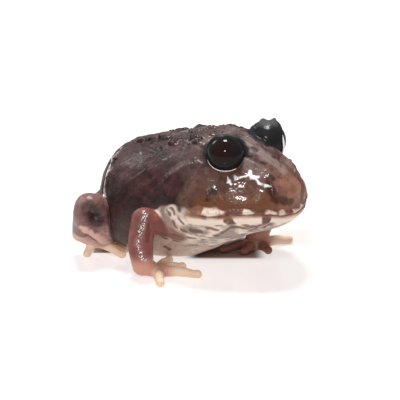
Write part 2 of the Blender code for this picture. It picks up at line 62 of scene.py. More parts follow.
backwards = Vector((math.sin(CAMERA_TURN) * math.cos(CAMERA_RISE),
                    -math.cos(CAMERA_TURN) * math.cos(CAMERA_RISE), math.sin(CAMERA_RISE)))
rightwards = Vector((math.cos(CAMERA_TURN), math.sin(CAMERA_TURN), 0))
upwards = backwards.cross(rightwards)
middle = rightwards * ((PICTURE_SIZE / 2 - ORIGIN_PIXEL[0]) / PIXELS_PER_MM)
middle += upwards * ((ORIGIN_PIXEL[1] - PICTURE_SIZE / 2) / PIXELS_PER_MM)
camera = placed("camera", bpy.data.cameras.new("camera"))
camera.location = in_frame(middle + backwards * CAMERA_DISTANCE)
camera.rotation_quaternion = (-backwards).to_track_quat("-Z", "Y")
camera.data.sensor_width = SENSOR_WIDTH
camera.data.lens = PIXELS_PER_MM * CAMERA_DISTANCE / PICTURE_SIZE * SENSOR_WIDTH
camera.data.clip_start, camera.data.clip_end = 0.01, 10.0
bpy.context.scene.camera = camera
bpy.context.scene.view_settings.view_transform = "Standard"

# The sheet under the frog: thin, pale, slightly glossy, and lit through from below, so that it glows softly.
# The glow stops at three patches of shade, under the chest, under the near foot and beside the far hand.
SHEET_WIDTH, SHEET_DROP = 3.0, 0.00005
TO_THE_RIGHT, TO_THE_FRONT = (0.745, 0.667, 0), (0.667, -0.745, 0)
SHADES = [  # where each begins and ends to the right, then to the front, with soft edges, and its strength
    ((-4.4, -1.4), (11.2, 8.7), (-11.5, -9.0), (2.4, 1.0), 1.0),
    ((-21.2, -20.2), (-15.0, -16.0), (-9.0, -6.0), (-0.9, -1.6), 1.0),
    ((11.0, 15.0), (23.0, 18.0), (-20.0, -13.0), (-3.0, -8.0), 0.25),
]
LIT_SHEET, SHADED_SHEET, GLOW = (0.46, 0.41, 0.4, 1), (0.5, 0.36, 0.31, 1), 0.62


def fill(tree, node, inputs):
    """Sets inputs of a node, each to a plain value or to another node's output."""
    for name, value in inputs.items():
        if isinstance(value, bpy.types.NodeSocket):
            tree.links.new(value, node.inputs[name])
        else:
            node.inputs[name].default_value = value


def add_node(tree, kind, inputs, **settings):
    """Adds a shader node with its settings and inputs to a material or a group."""
    node = tree.nodes.new("ShaderNode" + kind)
    for name, value in settings.items():
        setattr(node, name, value)
    fill(tree, node, inputs)
    return node


def calculated(tree, operation, *values):
    """The result of a sum or a product of values and outputs."""
    return add_node(tree, "Math", dict(enumerate(values)), operation=operation).outputs["Value"]


def between_levels(tree, value, low, high, first=0.0, last=1.0, curve="SMOOTHSTEP"):
    """Runs from first to last while the value runs from low to high."""
    levels = {"Value": value, "From Min": low, "From Max": high, "To Min": first, "To Max": last}
    return add_node(tree, "MapRange", levels, interpolation_type=curve).outputs["Result"]


def laid_over(tree, under, over, share):
    """Lays one colour over another by a share, which is a value or a mask."""
    inputs = {"A": under, "B": over, "Factor": share}
    return add_node(tree, "Mix", inputs, data_type="RGBA").outputs["Result"]


def new_material(name):
    """A new material and its node tree."""
    made = bpy.data.materials.new(name)
    made.use_nodes = True
    return made, made.node_tree


def sheet_step(heading, low, high):
    """A soft step over the sheet along a heading, from 0 at low to 1 at high."""
    inputs = {0: sheet_place.outputs["Object"], 1: heading}
    reach = add_node(sheet, "VectorMath", inputs, operation="DOT_PRODUCT")
    offset = REST_POINT.dot(Vector(heading))
    return between_levels(sheet, reach.outputs["Value"], (low - offset) * MM, (high - offset) * MM)


paper, sheet = new_material("glossy_white_sheet")
sheet_place = add_node(sheet, "TexCoord", {})
shade = 0.0
for left, right, back, front, strength in SHADES:
    across = calculated(sheet, "MULTIPLY", sheet_step(TO_THE_RIGHT, *left), sheet_step(TO_THE_RIGHT, *right))
    deep = calculated(sheet, "MULTIPLY", sheet_step(TO_THE_FRONT, *back), sheet_step(TO_THE_FRONT, *front))
    patch = calculated(sheet, "MULTIPLY", calculated(sheet, "MULTIPLY", across, deep), strength)
    shade = calculated(sheet, "MAXIMUM", shade, patch)
fill(sheet, sheet.nodes["Principled BSDF"], {
    "Base Color": laid_over(sheet, LIT_SHEET, SHADED_SHEET, shade), "Roughness": 0.16, "IOR": 1.4,
    "Emission Color": (1, 0.985, 0.985, 1),
    "Emission Strength": between_levels(sheet, shade, 0.0, 1.0, GLOW, 0.0, "LINEAR"),
})
half = SHEET_WIDTH / 2
floor_mesh = bpy.data.meshes.new("floor")
corners = [(-half, -half, 0), (half, -half, 0), (half, half, 0), (-half, half, 0)]
floor_mesh.from_pydata(corners, [], [(0, 1, 2, 3)])
floor_mesh.materials.append(paper)
floor = placed("floor", floor_mesh)
floor.location = (0, 0, -SHEET_DROP)

# The lights: square soft lamps above, in front and behind, as in a small photo tent in a pale room.
# Places and widths are in metres, and all lamps look at the middle of the frog.
LAMPS = {  # place, width, power and colour
    "light_above": ((-0.07, 0.06, 0.42), 0.1, 1.9, (1, 1, 1)),
    "light_front": ((0.235, -0.315, 0.3), 0.06, 1.0, (1, 0.98, 0.96)),
    "light_behind": ((-0.34, 0.02, 0.22), 0.1, 0.22, (0.96, 0.98, 1)),
}
LIT_POINT = Vector((0.007, 0, 0.012))
ROOM_COLOUR, ROOM_BRIGHTNESS = (1.0, 0.99, 0.99, 1), 0.3
for name, (place, width, power, tint) in LAMPS.items():
    lamp = placed(name, bpy.data.lights.new(name, "AREA"))
    lamp.data.shape, lamp.data.size, lamp.data.energy, lamp.data.color = "SQUARE", width, power, tint
    lamp.location = place
    lamp.rotation_quaternion = (Vector(place) - LIT_POINT).to_track_quat("Z", "Y")
world = bpy.data.worlds.new("pale_room")
bpy.context.scene.world = world
world.use_nodes = True
room = world.node_tree
fill(room, room.nodes["Background"], {"Color": ROOM_COLOUR, "Strength": ROOM_BRIGHTNESS})

# The frog's flesh: one skin over trunk, head, jaws, limbs and digits, made from the same sizes as the solids.
# Closed lofts are fused by a fine voxel remesh and smoothed where limbs join the trunk, so no seam shows.
TRUNK_STATIONS = [  # x, half width, low, widest and high level, squareness above and below, narrowing upwards
    (-20.5, 0, 11, 11.5, 12, 2, 2, 0),
    (-19.6, 5.2, 5.6, 11, 16.2, 2, 2, 0),
    (-17, 10, 1.6, 10.2, 19, 2.1, 2.1, 0),
    (-12, 14.2, -0.4, 9.2, 21, 2.1, 2.2, 0),
    (-6, 15.4, -0.6, 9.4, 22.8, 2, 2.1, 0),
    (-1, 14.6, 0.2, 10.2, 24.1, 2, 1.9, 0.04),
    (4, 13.8, 3, 12, 24.9, 2.1, 1.9, 0.12),
    (9, 12.8, 5.6, 12.9, 24.8, 2.3, 2, 0.28),
    (13, 10.7, 7.6, 13.3, 23, 2.4, 2.1, 0.32),
    (16.6, 8, 9, 13.8, 20.7, 2.6, 2.2, 0.22),
    (18.9, 5.6, 10.1, 14.2, 19, 2.7, 2.3, 0.12),
    (20.1, 3.4, 11.3, 14.6, 17.8, 2.5, 2.3, 0),
    (20.6, 0, 13.4, 15, 16.2, 2, 2, 0),
]
TRUNK_RINGS, TRUNK_SIDES = 120, 120
SIDES = {"right": -1, "left": 1}
ARMS = {
    "right": [(2.2, -9, 8.2), (-0.6, -16, 10.6), (-1, -16.3, 5.9), (-0.6, -16.2, 2.2)],
    "left": [(2.2, 9, 8.2), (1.8, 16.6, 9.8), (2.6, 13.8, 5.6), (3.6, 10.4, 2.4)],
}
LEGS = {
    "right": [(-15.5, -6, 8), (-14.4, -11.4, 6.8), (-12.6, -17.3, 10.5), (-17, -15.2, 4.2)],
    "left": [(-15.5, 6, 8), (-14, 11.6, 6.8), (-12.2, 17.5, 10.3), (-16.6, 15.6, 4.2)],
}
FINGER_TIPS = {
    "right": [(-1.9, -7.9), (2.2, -8.9), (7.1, -10.2), (5.2, -17.9)],
    "left": [(1.4, 3.2), (5, 4.9), (7.9, 8.2), (6.9, 15.2)],
}
TOE_TIPS = {
    "right": [(-16.8, -9.4), (-14.4, -8.5), (-11.9, -8.9), (-10.4, -11.3), (-15.4, -15.2)],
    "left": [(-16.4, 9.8), (-14, 9), (-11.5, 9.4), (-9.9, 12), (-14.6, 15.8)],
}
UPPER_ARM_RADII, ELBOW_RADIUS, FOREARM_RADII, WRIST_RADIUS = (2.4, 2.3), 2.2, (2.2, 2.3), 2.0
THIGH_RADII, KNEE_RADIUS, SHANK_RADII, HEEL_RADIUS = (4.3, 4.9), 2.8, (2.4, 2.6), 1.6
HAND_RADII, HAND_SHARE, HAND_HEIGHT = [(1.9, 1.8), (2.3, 1.5), (2.5, 1.1)], 0.42, 0.95
FOOT_RADII, FOOT_SHARE, FOOT_HEIGHT = [(1.5, 1.5), (1.5, 1.4), (1.9, 1.1)], 0.45, 2.4
FINGER_RADIUS, TOE_RADIUS, DIGIT_TIP_RADIUS, DIGIT_HEIGHT = 1, 0.8, 0.8, 0.66
DIGIT_ARCH, DIGIT_ROOT, DIGIT_SPREAD = 0.22, 0.9, 0.08
LIMB_SIDES, LIMB_STEPS, PALM_STEPS, DIGIT_STEPS, DOME_TURNS = 20, 16, 12, 20, (22, 45, 68)
VOXEL = 0.14
EYE_CENTRE, EYE_RADIUS, EYE_AXIS = (9.7, 5.6, 22.5), 3.42, (0.4, 0.8, 0.4)
SOCKET_RADIUS = 3.75


def smooth_through(keys, values, at):
    """Cubic Hermite curve through values at rising keys."""
    keys, values = np.asarray(keys, float), np.asarray(values, float)
    slopes = np.gradient(values, keys, axis=0)
    at = np.clip(np.asarray(at, float), keys[0], keys[-1])
    i = np.clip(np.searchsorted(keys, at, side="right") - 1, 0, len(keys) - 2)
    span = keys[i + 1] - keys[i]
    s = (at - keys[i]) / span
    if values.ndim > 1:
        s, span = s[..., None], span[..., None]
    first = (2 * s**3 - 3 * s**2 + 1) * values[i] + (s**3 - 2 * s**2 + s) * span * slopes[i]
    return first + (3 * s**2 - 2 * s**3) * values[i + 1] + (s**3 - s**2) * span * slopes[i + 1]


stations = np.array(TRUNK_STATIONS)
RUMP_X, SNOUT_X = stations[0, 0], stations[-1, 0]
TRUNK_MIDDLE, TRUNK_HALF_LENGTH = (RUMP_X + SNOUT_X) / 2, (SNOUT_X - RUMP_X) / 2
station_angles = np.arccos((TRUNK_MIDDLE - stations[:, 0]) / TRUNK_HALF_LENGTH)


def trunk_section(x):
    """Half width, low, widest and high level, both squarenesses and the narrowing of the trunk at each x."""
    angle = np.arccos(np.clip((TRUNK_MIDDLE - np.asarray(x, float)) / TRUNK_HALF_LENGTH, -1, 1))
    return np.moveaxis(smooth_through(station_angles, stations[:, 1:], angle), -1, 0)


def trunk_points(x, around):
    """Points of the trunk's surface: around is 0 at the right flank and a quarter turn at the crest."""
    width, low, level, high, upper_n, lower_n, taper = trunk_section(x)
    c, s = np.cos(around), np.sin(around)
    n = np.where(s > 0, upper_n, lower_n)
    up = np.sign(s) * np.abs(s) ** (2 / n)
    across = np.sign(c) * np.abs(c) ** (2 / n) * width * (1 - taper * np.maximum(up, 0))
    rise = up * np.where(s > 0, high - level, level - low)
    return np.stack([np.broadcast_to(x, across.shape), -across, level + rise], axis=-1)


def closed_loft(bm, rings, first_end, last_end):
    """Adds a closed body over rings of equal length, with a point at either end."""
    loops = [[bm.verts.new(p) for p in ring] for ring in rings]
    for a, b in zip(loops, loops[1:]):
        for i in range(len(a)):
            j = (i + 1) % len(a)
            bm.faces.new((a[i], a[j], b[j], b[i]))
    for loop, end in ((loops[0], first_end), (loops[-1], last_end)):
        tip = bm.verts.new(end)
        for i in range(len(loop)):
            bm.faces.new((loop[i], loop[(i + 1) % len(loop)], tip))


def limb(bm, points, radii, count):
    """Adds a tube with domed ends through smoothed points, and gives its path and the radius along it."""
    sizes = [(r, r) if isinstance(r, (int, float)) else r for r in radii]
    at = np.linspace(0, len(points) - 1, count)
    path = smooth_through(range(len(points)), [tuple(p) for p in points], at)
    sizes = smooth_through(range(len(points)), sizes, at)
    tangents = np.gradient(path, axis=0)
    tangents /= np.linalg.norm(tangents, axis=1)[:, None]
    turns = np.linspace(0, 2 * math.pi, LIMB_SIDES, endpoint=False)
    rings = []

    def ring(centre, tangent, size):
        across = np.cross(tangent, (0, 0, 1))
        if np.linalg.norm(across) < 0.2:
            across = np.cross(tangent, (1, 0, 0))
        across = across / np.linalg.norm(across)
        over = np.cross(across, tangent)
        rings.append(centre + np.outer(np.cos(turns) * size[0], across)
                     + np.outer(np.sin(turns) * size[1], over))

    dome = [math.radians(turn) for turn in DOME_TURNS]
    for t in reversed(dome):
        ring(path[0] - tangents[0] * sizes[0].mean() * math.sin(t), tangents[0], sizes[0] * math.cos(t))
    for centre, tangent, size in zip(path, tangents, sizes):
        ring(centre, tangent, size)
    for t in dome:
        ring(path[-1] + tangents[-1] * sizes[-1].mean() * math.sin(t), tangents[-1], sizes[-1] * math.cos(t))
    ends = (path[0] - tangents[0] * sizes[0].mean(), path[-1] + tangents[-1] * sizes[-1].mean())
    closed_loft(bm, rings, *ends)
    return path, sizes.mean(axis=1)


def sided(point, side):
    """A place or heading of the left side, as it is or mirrored to the right side."""
    return point[0], side * point[1], point[2]


def mesh_of(name, bm):
    """A mesh of the shapes in a bmesh, which is used up."""
    made = bpy.data.meshes.new(name)
    bm.to_mesh(made)
    bm.free()
    return made


def between(a, b, share):
    """The point a share of the way from a to b."""
    return Vector(a).lerp(Vector(b), share)


body = bmesh.new()
ring_angles = np.linspace(0, math.pi, TRUNK_RINGS + 2)[1:-1]
ring_turns = np.linspace(0, 2 * math.pi, TRUNK_SIDES, endpoint=False)
trunk_rings = [trunk_points(TRUNK_MIDDLE - TRUNK_HALF_LENGTH * math.cos(a), ring_turns) for a in ring_angles]
closed_loft(body, trunk_rings, (RUMP_X, 0, stations[0, 3]), (SNOUT_X, 0, stations[-1, 3]))
limb_paths, digit_paths = {}, {}
for word, side in SIDES.items():
    shoulder, elbow, forearm, wrist = (Vector(p) for p in ARMS[word])
    hip, thigh, knee, heel = (Vector(p) for p in LEGS[word])
    for name, path, radii in (
            ("upper_arm_", [shoulder, between(shoulder, elbow, 0.5), elbow],
             [UPPER_ARM_RADII, UPPER_ARM_RADII, ELBOW_RADIUS]),
            ("forearm_", [elbow, forearm, wrist], [ELBOW_RADIUS, FOREARM_RADII, WRIST_RADIUS]),
            ("thigh_", [hip, thigh, knee], [THIGH_RADII, THIGH_RADII, KNEE_RADIUS]),
            ("shank_", [knee, between(knee, heel, 0.4), heel], [KNEE_RADIUS, SHANK_RADII, HEEL_RADIUS])):
        limb_paths[name + word] = limb(body, path, radii, LIMB_STEPS)
    for name, root, tips, palm_radii, radius, share, height in (
            ("hand", wrist, FINGER_TIPS[word], HAND_RADII, FINGER_RADIUS, HAND_SHARE, HAND_HEIGHT),
            ("foot", heel, TOE_TIPS[word], FOOT_RADII, TOE_RADIUS, FOOT_SHARE, FOOT_HEIGHT)):
        tip_mean = sum((Vector((x, y, DIGIT_HEIGHT)) for x, y in tips), Vector()) / len(tips)
        knuckles = between(root, tip_mean, share)
        knuckles.z = height
        palm = [root, between(root, knuckles, 0.5), knuckles]
        limb_paths[f"{name}_{word}"] = limb(body, palm, palm_radii, PALM_STEPS)
        for i, tip in enumerate(tips):
            end = Vector((*tip, DIGIT_HEIGHT))
            heading = (end - knuckles).normalized()
            across = Vector((-heading.y, heading.x, 0))
            start = knuckles + heading * DIGIT_ROOT - across * (i - (len(tips) - 1) / 2) * DIGIT_SPREAD
            arch = between(start, end, 0.5) + Vector((0, 0, DIGIT_ARCH))
            radii = [radius, radius * 0.92, DIGIT_TIP_RADIUS * 0.9, DIGIT_TIP_RADIUS]
            digit = [start, arch, between(start, end, 0.86), end]
            digit_paths[f"{name}_{word}_{i}"] = limb(body, digit, radii, DIGIT_STEPS)
    bmesh.ops.create_uvsphere(body, u_segments=48, v_segments=24, radius=SOCKET_RADIUS,
                              matrix=Matrix.Translation(Vector(sided(EYE_CENTRE, side))))
bmesh.ops.recalc_face_normals(body, faces=body.faces)
skin = placed("skin", mesh_of("skin", body))
remesh = skin.modifiers.new("fuse", "REMESH")
remesh.mode = "VOXEL"
remesh.voxel_size = VOXEL
skin_mesh = bpy.data.meshes.new_from_object(skin.evaluated_get(bpy.context.evaluated_depsgraph_get()))
skin.modifiers.clear()
skin.data = skin_mesh

# The flesh's form: the points of the skin, smoothed and then moved in and out by folds, lips, lids and warts.
# Each form is a smooth swelling or groove on the surface that carries it.


def values_of(items, field, width, kind=float):
    """One field of all points or edges of a mesh, as the rows of an array."""
    values = np.empty(len(items) * width, kind)
    items.foreach_get(field, values)
    return values.reshape(-1, width)


co, edges = values_of(skin_mesh.vertices, "co", 3), values_of(skin_mesh.edges, "vertices", 2, int)
count = len(co)
valence = np.bincount(edges.ravel(), minlength=count)


def smooth_step(low, high, value):
    """Rises smoothly from 0 to 1 while the value goes from low to high."""
    s = np.clip((value - low) / (high - low), 0, 1)
    return s * s * (3 - 2 * s)


RELAX_STEPS = (0.62, -0.58)


def relax(values, rounds, weight):
    """Moves points towards the mean of their neighbours, in pairs of steps that keep the volume."""
    values = values.copy()
    for step in range(rounds):
        total = np.zeros_like(values)
        for axis in range(values.shape[1]):
            total[:, axis] = np.bincount(edges[:, 0], values[edges[:, 1], axis], count)
            total[:, axis] += np.bincount(edges[:, 1], values[edges[:, 0], axis], count)
        values += (total / valence[:, None] - values) * weight[:, None] * RELAX_STEPS[step % 2]
    return values


def normals():
    """The skin's direction outwards at each of its points, as it is now."""
    skin_mesh.vertices.foreach_set("co", co.ravel())
    skin_mesh.update()
    return values_of(skin_mesh.vertices, "normal", 3, np.float32).astype(float)


def distance_to_path(path, points):
    """Distance from each point to the nearest of a path's points, and which of them it is."""
    best, which = np.full(len(points), np.inf), np.zeros(len(points), int)
    for i, place in enumerate(path):
        d = np.linalg.norm(points - place, axis=1)
        closer = d < best
        best[closer], which[closer] = d[closer], i
    return best, which


def ripples(points, wavelength, seed, waves=20, stretch=(1, 1, 1)):
    """Smooth random swell over space, about -1 to 1, from a sum of plane waves."""
    draw = np.random.default_rng(seed)
    headings = draw.normal(size=(waves, 3))
    headings /= np.linalg.norm(headings, axis=1)[:, None]
    lengths = wavelength * draw.uniform(0.75, 1.3, waves)
    shifts = draw.uniform(0, 2 * math.pi, waves)
    scaled = points / np.asarray(stretch, float)
    total = np.zeros(len(points))
    for heading, length, shift in zip(headings, lengths, shifts):
        total += np.cos(scaled @ heading * 2 * math.pi / length + shift)
    return total / math.sqrt(waves)


# Where each point of the skin is: how far out from the trunk's own surface, and how near to limbs and digits.
width, low, level, high, upper_n, lower_n, taper = trunk_section(co[:, 0])
rise = co[:, 2] - level
width = width * (1 - taper * np.clip(rise / np.maximum(high - level, 0.01), 0, 1))
reach = np.where(rise > 0, high - level, level - low)
power = np.where(rise > 0, upper_n, lower_n)
with np.errstate(divide="ignore", invalid="ignore"):
    out = np.abs(co[:, 1] / np.maximum(width, 0.01)) ** power
    out += np.abs(rise / np.maximum(reach, 0.01)) ** power
out = out ** (1 / power)
limb_near = {}
for name, (path, radii) in {**limb_paths, **digit_paths}.items():
    d, which = distance_to_path(path, co)
    limb_near[name] = (d / radii[which], which / (len(path) - 1))
on_digit = np.max([smooth_step(1.5, 1.1, near) * smooth_step(0.05, 0.3, along)
                   for name, (near, along) in limb_near.items() if name in digit_paths], axis=0)
on_limb = np.max([smooth_step(1.35, 1.05, near) for near, _ in limb_near.values()], axis=0)
on_limb = on_limb * smooth_step(1.0, 1.05, out) * smooth_step(16.2, 14.2, co[:, 2])
on_trunk = 1 - np.maximum(on_limb, on_digit)
LIGHT_ROUNDS, SEAM_ROUNDS = 4, 24
co = relax(co, LIGHT_ROUNDS, np.ones(count))
co = relax(co, SEAM_ROUNDS, 1 - on_digit)
base = co.copy()
around = np.degrees(np.arctan2((co[:, 2] - level) / np.maximum(reach, 0.1),
                               -co[:, 1] / np.maximum(width, 0.1)))


SWELL_REACH = 2.5


def swell(centre, radius, height, squash=(1, 1, 1)):
    """A smooth swelling, or a dent if the height is below zero, round a point."""
    global co
    d = np.linalg.norm((base - centre) / np.asarray(squash, float), axis=1) / radius
    near = d < SWELL_REACH
    co[near] += normal[near] * (height * np.exp(-d[near] ** 2))[:, None]


tree = KDTree(count)
for i, place in enumerate(base):
    tree.insert(place, i)
tree.balance()


def on_skin(points, samples):
    """A smooth line through points, drawn to the nearest skin."""
    line = smooth_through(range(len(points)), points, np.linspace(0, len(points) - 1, samples))
    return np.array([base[tree.find(spot)[1]] for spot in line])


def in_box_round(line, margin):
    """Which points of the skin are in the box round a line."""
    return np.all((base > line.min(axis=0) - margin) & (base < line.max(axis=0) + margin), axis=1)


def fold(points, width, height, samples=40):
    """A ridge, or a groove if the height is below zero, along a smooth line, fading at its ends."""
    global co
    line = on_skin(points, samples)
    close = in_box_round(line, 3 * width)
    d, which = distance_to_path(line, base[close])
    ends = np.minimum(which, samples - 1 - which) / (samples / 6)
    bump = height * np.exp(-(d / width) ** 2) * np.clip(ends, 0, 1)
    co[close] += normal[close] * bump[:, None]


def both_sides(points):
    """A line mirrored to the other side, and as it is."""
    return [[sided(point, side) for point in points] for side in SIDES.values()]


# The head and the folds: a knob of a snout with grooves beside it, hollow cheeks with wet ridges, a ridge
# from eye to nostril, ear patches, a furrowed crown, long warts on the back, and folds behind the head, on
# the flanks and round the rump, all pressed into the one skin.
GROOVE = [(17.9, 3.3, 19.3), (18.7, 3.8, 18.3), (19.4, 4.1, 17), (19.9, 3.7, 16), (20.4, 2, 15.1)]
RIDGE = [(12.2, 3, 23), (13.6, 3.4, 22), (15, 3.6, 21.2), (16.6, 3.3, 20.6), (17.7, 2.7, 19.9)]
WET_FOLDS = [  # half width and line of each ridge of wet skin on the right cheek
    (0.26, [(12.3, -8.4, 18.5), (12.9, -8.1, 19.1), (13.7, -7.1, 19.2), (14.7, -6.4, 19.6),
            (15, -5.9, 20.2)]),
    (0.44, [(15.1, -5.4, 20.4), (15.5, -5.7, 20), (16.2, -5.6, 19.7), (16.4, -4.8, 19.7)]),
    (0.3, [(15.8, -5.8, 19.4), (17.1, -5.3, 19), (17.9, -5.1, 18.5), (18.4, -4.7, 18.2), (18.3, -3.4, 18)]),
    (0.08, [(14.4, -8.1, 16.9), (15.1, -8.2, 16.6), (15.7, -7.8, 16.4), (16.4, -7.2, 16.2)]),
    (0.22, [(14.4, -7.5, 18.2), (14.8, -7.3, 18)]),
    (0.22, [(12.5, -8.1, 19.3), (12.9, -8.4, 18.6), (13.4, -8.1, 18)]),
    (0.18, [(17.6, -3.3, 20.1), (17.7, -3.6, 19.6)]),
    (0.18, [(10.8, -10, 17.8), (10.9, -10.1, 17.4)]),
]
HEAD_LINES = [  # half width and line of each furrow on the crown, darkened with painted shade
    (0.25, [(12.4, -3.1, 23), (14, -3, 21.9), (15.1, -2.5, 21.4), (16.4, -1.4, 21), (17.4, -0.6, 20.3)]),
    (0.22, [(7.8, 0.6, 24.5), (9.4, 0.3, 24.2), (10.8, 0.3, 23.8), (12.6, 0.4, 23)]),
    (0.18, [(12, -1.4, 23.3), (13.5, -0.6, 22.8)]),
    (0.45, [(1.7, -4.8, 23.9), (3.8, -5.4, 24)]), (0.26, [(0.9, -2.1, 24.4), (2.4, -2.2, 24.6)]),
    (0.3, [(4.2, -4.5, 24.3), (5.2, -3.1, 24.7)]), (0.26, [(3.4, -1.2, 24.6), (4.3, -0.3, 24.7)]),
    (0.36, [(5.1, 2.7, 24.7), (6.7, 2.8, 24.7)]), (0.22, [(6.2, -0.5, 24.8), (6.8, 1.4, 24.7)]),
]
LONG_WARTS = [  # half width and line of each long wart on the right half of the back
    (0.5, [(-12.5, -5.3, 20.3), (-10.7, -5.3, 20.9)]), (0.45, [(-10.6, -5, 21.1), (-9, -4.7, 21.8)]),
    (0.5, [(-8, -6.3, 21.4), (-6.8, -5.7, 21.8)]), (0.6, [(-7, -5.2, 22.3), (-5.1, -4.5, 22.9)]),
    (0.45, [(-5.3, -5.7, 22.1), (-4.3, -4.9, 22.6)]), (0.5, [(-2.4, -7, 22.2), (-1.7, -5.6, 23.1)]),
    (0.5, [(0.6, -5, 23.7), (3.1, -4.9, 24.2)]), (0.4, [(2.4, -6.4, 23.3), (3.5, -6.1, 23.9)]),
    (0.5, [(-14.5, -9.3, 18), (-13.5, -9.6, 17.4)]),
]
RUMP_FOLD = [(-15.6, 6, 18.8), (-14.4, 8.8, 17.6), (-13.8, 10.3, 16.6), (-13.3, 11.5, 15.4),
             (-12.8, 12.5, 14.2), (-12.4, 13.3, 12.8), (-12.2, 13.9, 10.8)]
SHOULDER_FOLD = [(6.2, 8.6, 21), (3.4, 11.2, 19.4), (2, 12.8, 16.6), (2.6, 13.2, 13.4)]
THIGH_FOLD = [(-11.9, 15, 12.3), (-11, 14.4, 11.6), (-9.5, 14.9, 10.2), (-8, 15.3, 8.5)]
SHANK_RIDGE = [(-12.6, 19.3, 12.5), (-13.1, 20, 11), (-14, 19.4, 8.8), (-14.1, 18.5, 6.6)]
KNEE_HOLLOW = [(-10.9, 19.1, 11.1), (-10.5, 18.7, 10.2), (-10.3, 18.2, 9.3), (-10.5, 17.6, 8.3)]
INSTEP = [(-12.9, 18.7, 6.7), (-12.8, 17.7, 5.8), (-12.2, 16.4, 4.8), (-12, 15, 3.7), (-12.5, 12.7, 2.2)]
SWELLS = [  # place, radius, height and how far it is drawn out along x, y and z
    ((20, 0.3, 16.9), 2.6, 0.28, (1, 1, 1.3)), ((19.2, 3.6, 18.6), 2.4, -0.38, (1, 1, 1)),
    ((-9.5, 0, 21.8), 4.5, -0.55, (1.4, 1.5, 1)), ((9, 0, 24.8), 2.4, -0.45, (1.7, 1, 1)),
]
PAIRED_SWELLS = [  # the same for swells on both sides, with the place on the left
    ((15.2, 6.9, 17.8), 2.2, -0.35, (1, 1, 1)), ((17.7, 3.1, 19.8), 0.9, 0.4, (1, 1, 1)),
    ((18.9, 2.2, 18.6), 0.8, -0.18, (1, 1, 1)), ((11.6, 9.6, 18.8), 1.8, -0.3, (1, 1, 1)),
    ((10.6, 10.6, 16.6), 1.4, 0.3, (1, 1, 1)), ((10.6, 10.6, 16.6), 0.8, -0.3, (1, 1, 1)),
    ((12.9, 9.2, 15.6), 1.8, 0.28, (1, 1, 1)), ((17.6, 6.2, 15.6), 1.8, 0.3, (1, 1, 1)),
    ((5.6, 11.8, 18), 2.2, 0.3, (1, 1, 1)), ((-12.8, 19.4, 8.6), 1.6, 0.35, (1, 1, 1.6)),
    ((14.6, 5.9, 20), 1.1, 0.28, (1, 1, 1)),
]
FOLDS = [  # line on one side, half width and height of each ridge, or groove if the height is below zero
    (GROOVE, 0.6, -0.55), (RIDGE, 0.85, 0.38),
    ([(12.4, 2.9, 22.9), (14.6, 3.2, 21.5), (15.6, 2.3, 21.2), (16.2, 1.2, 21)], 0.35, -0.14),
    *[(path, 0.25 + radius, 0.8 * radius) for radius, path in WET_FOLDS],
    *[(path, radius, -0.32 * radius) for radius, path in HEAD_LINES],
    *[(path, 1.15 * radius, 1.05 * radius) for radius, path in LONG_WARTS],
    (SHOULDER_FOLD, 1, 0.45), ([(7.6, 9.6, 20), (6.4, 11.8, 17.6), (5.6, 12.6, 14.6)], 0.6, -0.25),
    (RUMP_FOLD, 0.42, 0.45), ([(px - 1, py * 0.99, pz - 0.1) for px, py, pz in RUMP_FOLD], 0.55, -0.5),
    (THIGH_FOLD, 0.45, 0.3), (SHANK_RIDGE, 0.9, 0.25), (KNEE_HOLLOW, 1.3, -1.1), (INSTEP, 0.7, 0.45),
    ([(-1, 11.8, 19), (-5, 14, 15.4), (-9, 14.8, 10)], 0.9, -0.28),
    ([(3, 11, 19), (-0.6, 13.4, 14.6), (-3, 14.4, 10.2)], 0.7, 0.25),
    ([(4.4, 10.4, 19.6), (1.6, 12.6, 16.4), (-1.4, 14, 12)], 0.35, -0.16),
    ([(-3.4, 11.6, 18.4), (-6.6, 13.6, 15.2), (-8.8, 14.6, 12)], 0.4, 0.14),
]
normal = normals()
for place, radius, height, squash in SWELLS:
    swell(place, radius, height, squash)
for side in SIDES.values():
    for place, radius, height, squash in PAIRED_SWELLS:
        swell(sided(place, side), radius, height, squash)
for path, radius, height in FOLDS:
    for line in both_sides(path):
        fold(line, radius, height)

# The mouth: a crease from the corner of the jaws round the snout, with a full upper and a thinner lower lip.
# The crease is sunk into the skin, and both lips are raised beside it.
MOUTH_X, MOUTH_Z = [7.0, 10.0, 13.0, 17.0, 19.4, 20.3, 24.0], [12.6, 12.6, 12.8, 13.2, 13.0, 12.5, 12.3]
LIPS = [  # height, place above the line of the mouth and half width of each lip and of the crease
    (0.22, 0.6, 0.42), (0.24, -0.65, 0.5), (-0.55, 0, 0.17),
]
normal = normals()
above_mouth = base[:, 2] - smooth_through(MOUTH_X, MOUTH_Z, base[:, 0])
in_mouth = smooth_step(6.0, 8.0, base[:, 0]) * on_trunk
lip = sum(height * np.exp(-((above_mouth - place) / width) ** 2) for height, place, width in LIPS)
co += normal * (lip * in_mouth)[:, None]

# The nostrils: two small round pits high on the snout, one on either raised rim beside the knob.
# Each is pressed into the skin and opens outwards and up.
NOSTRIL, NOSTRIL_RADIUS, NOSTRIL_DEPTH = (17.6, 3.45, 19.9), 0.32, 0.7
normal = normals()
for side in SIDES.values():
    swell(sided(NOSTRIL, side), NOSTRIL_RADIUS, -NOSTRIL_DEPTH)

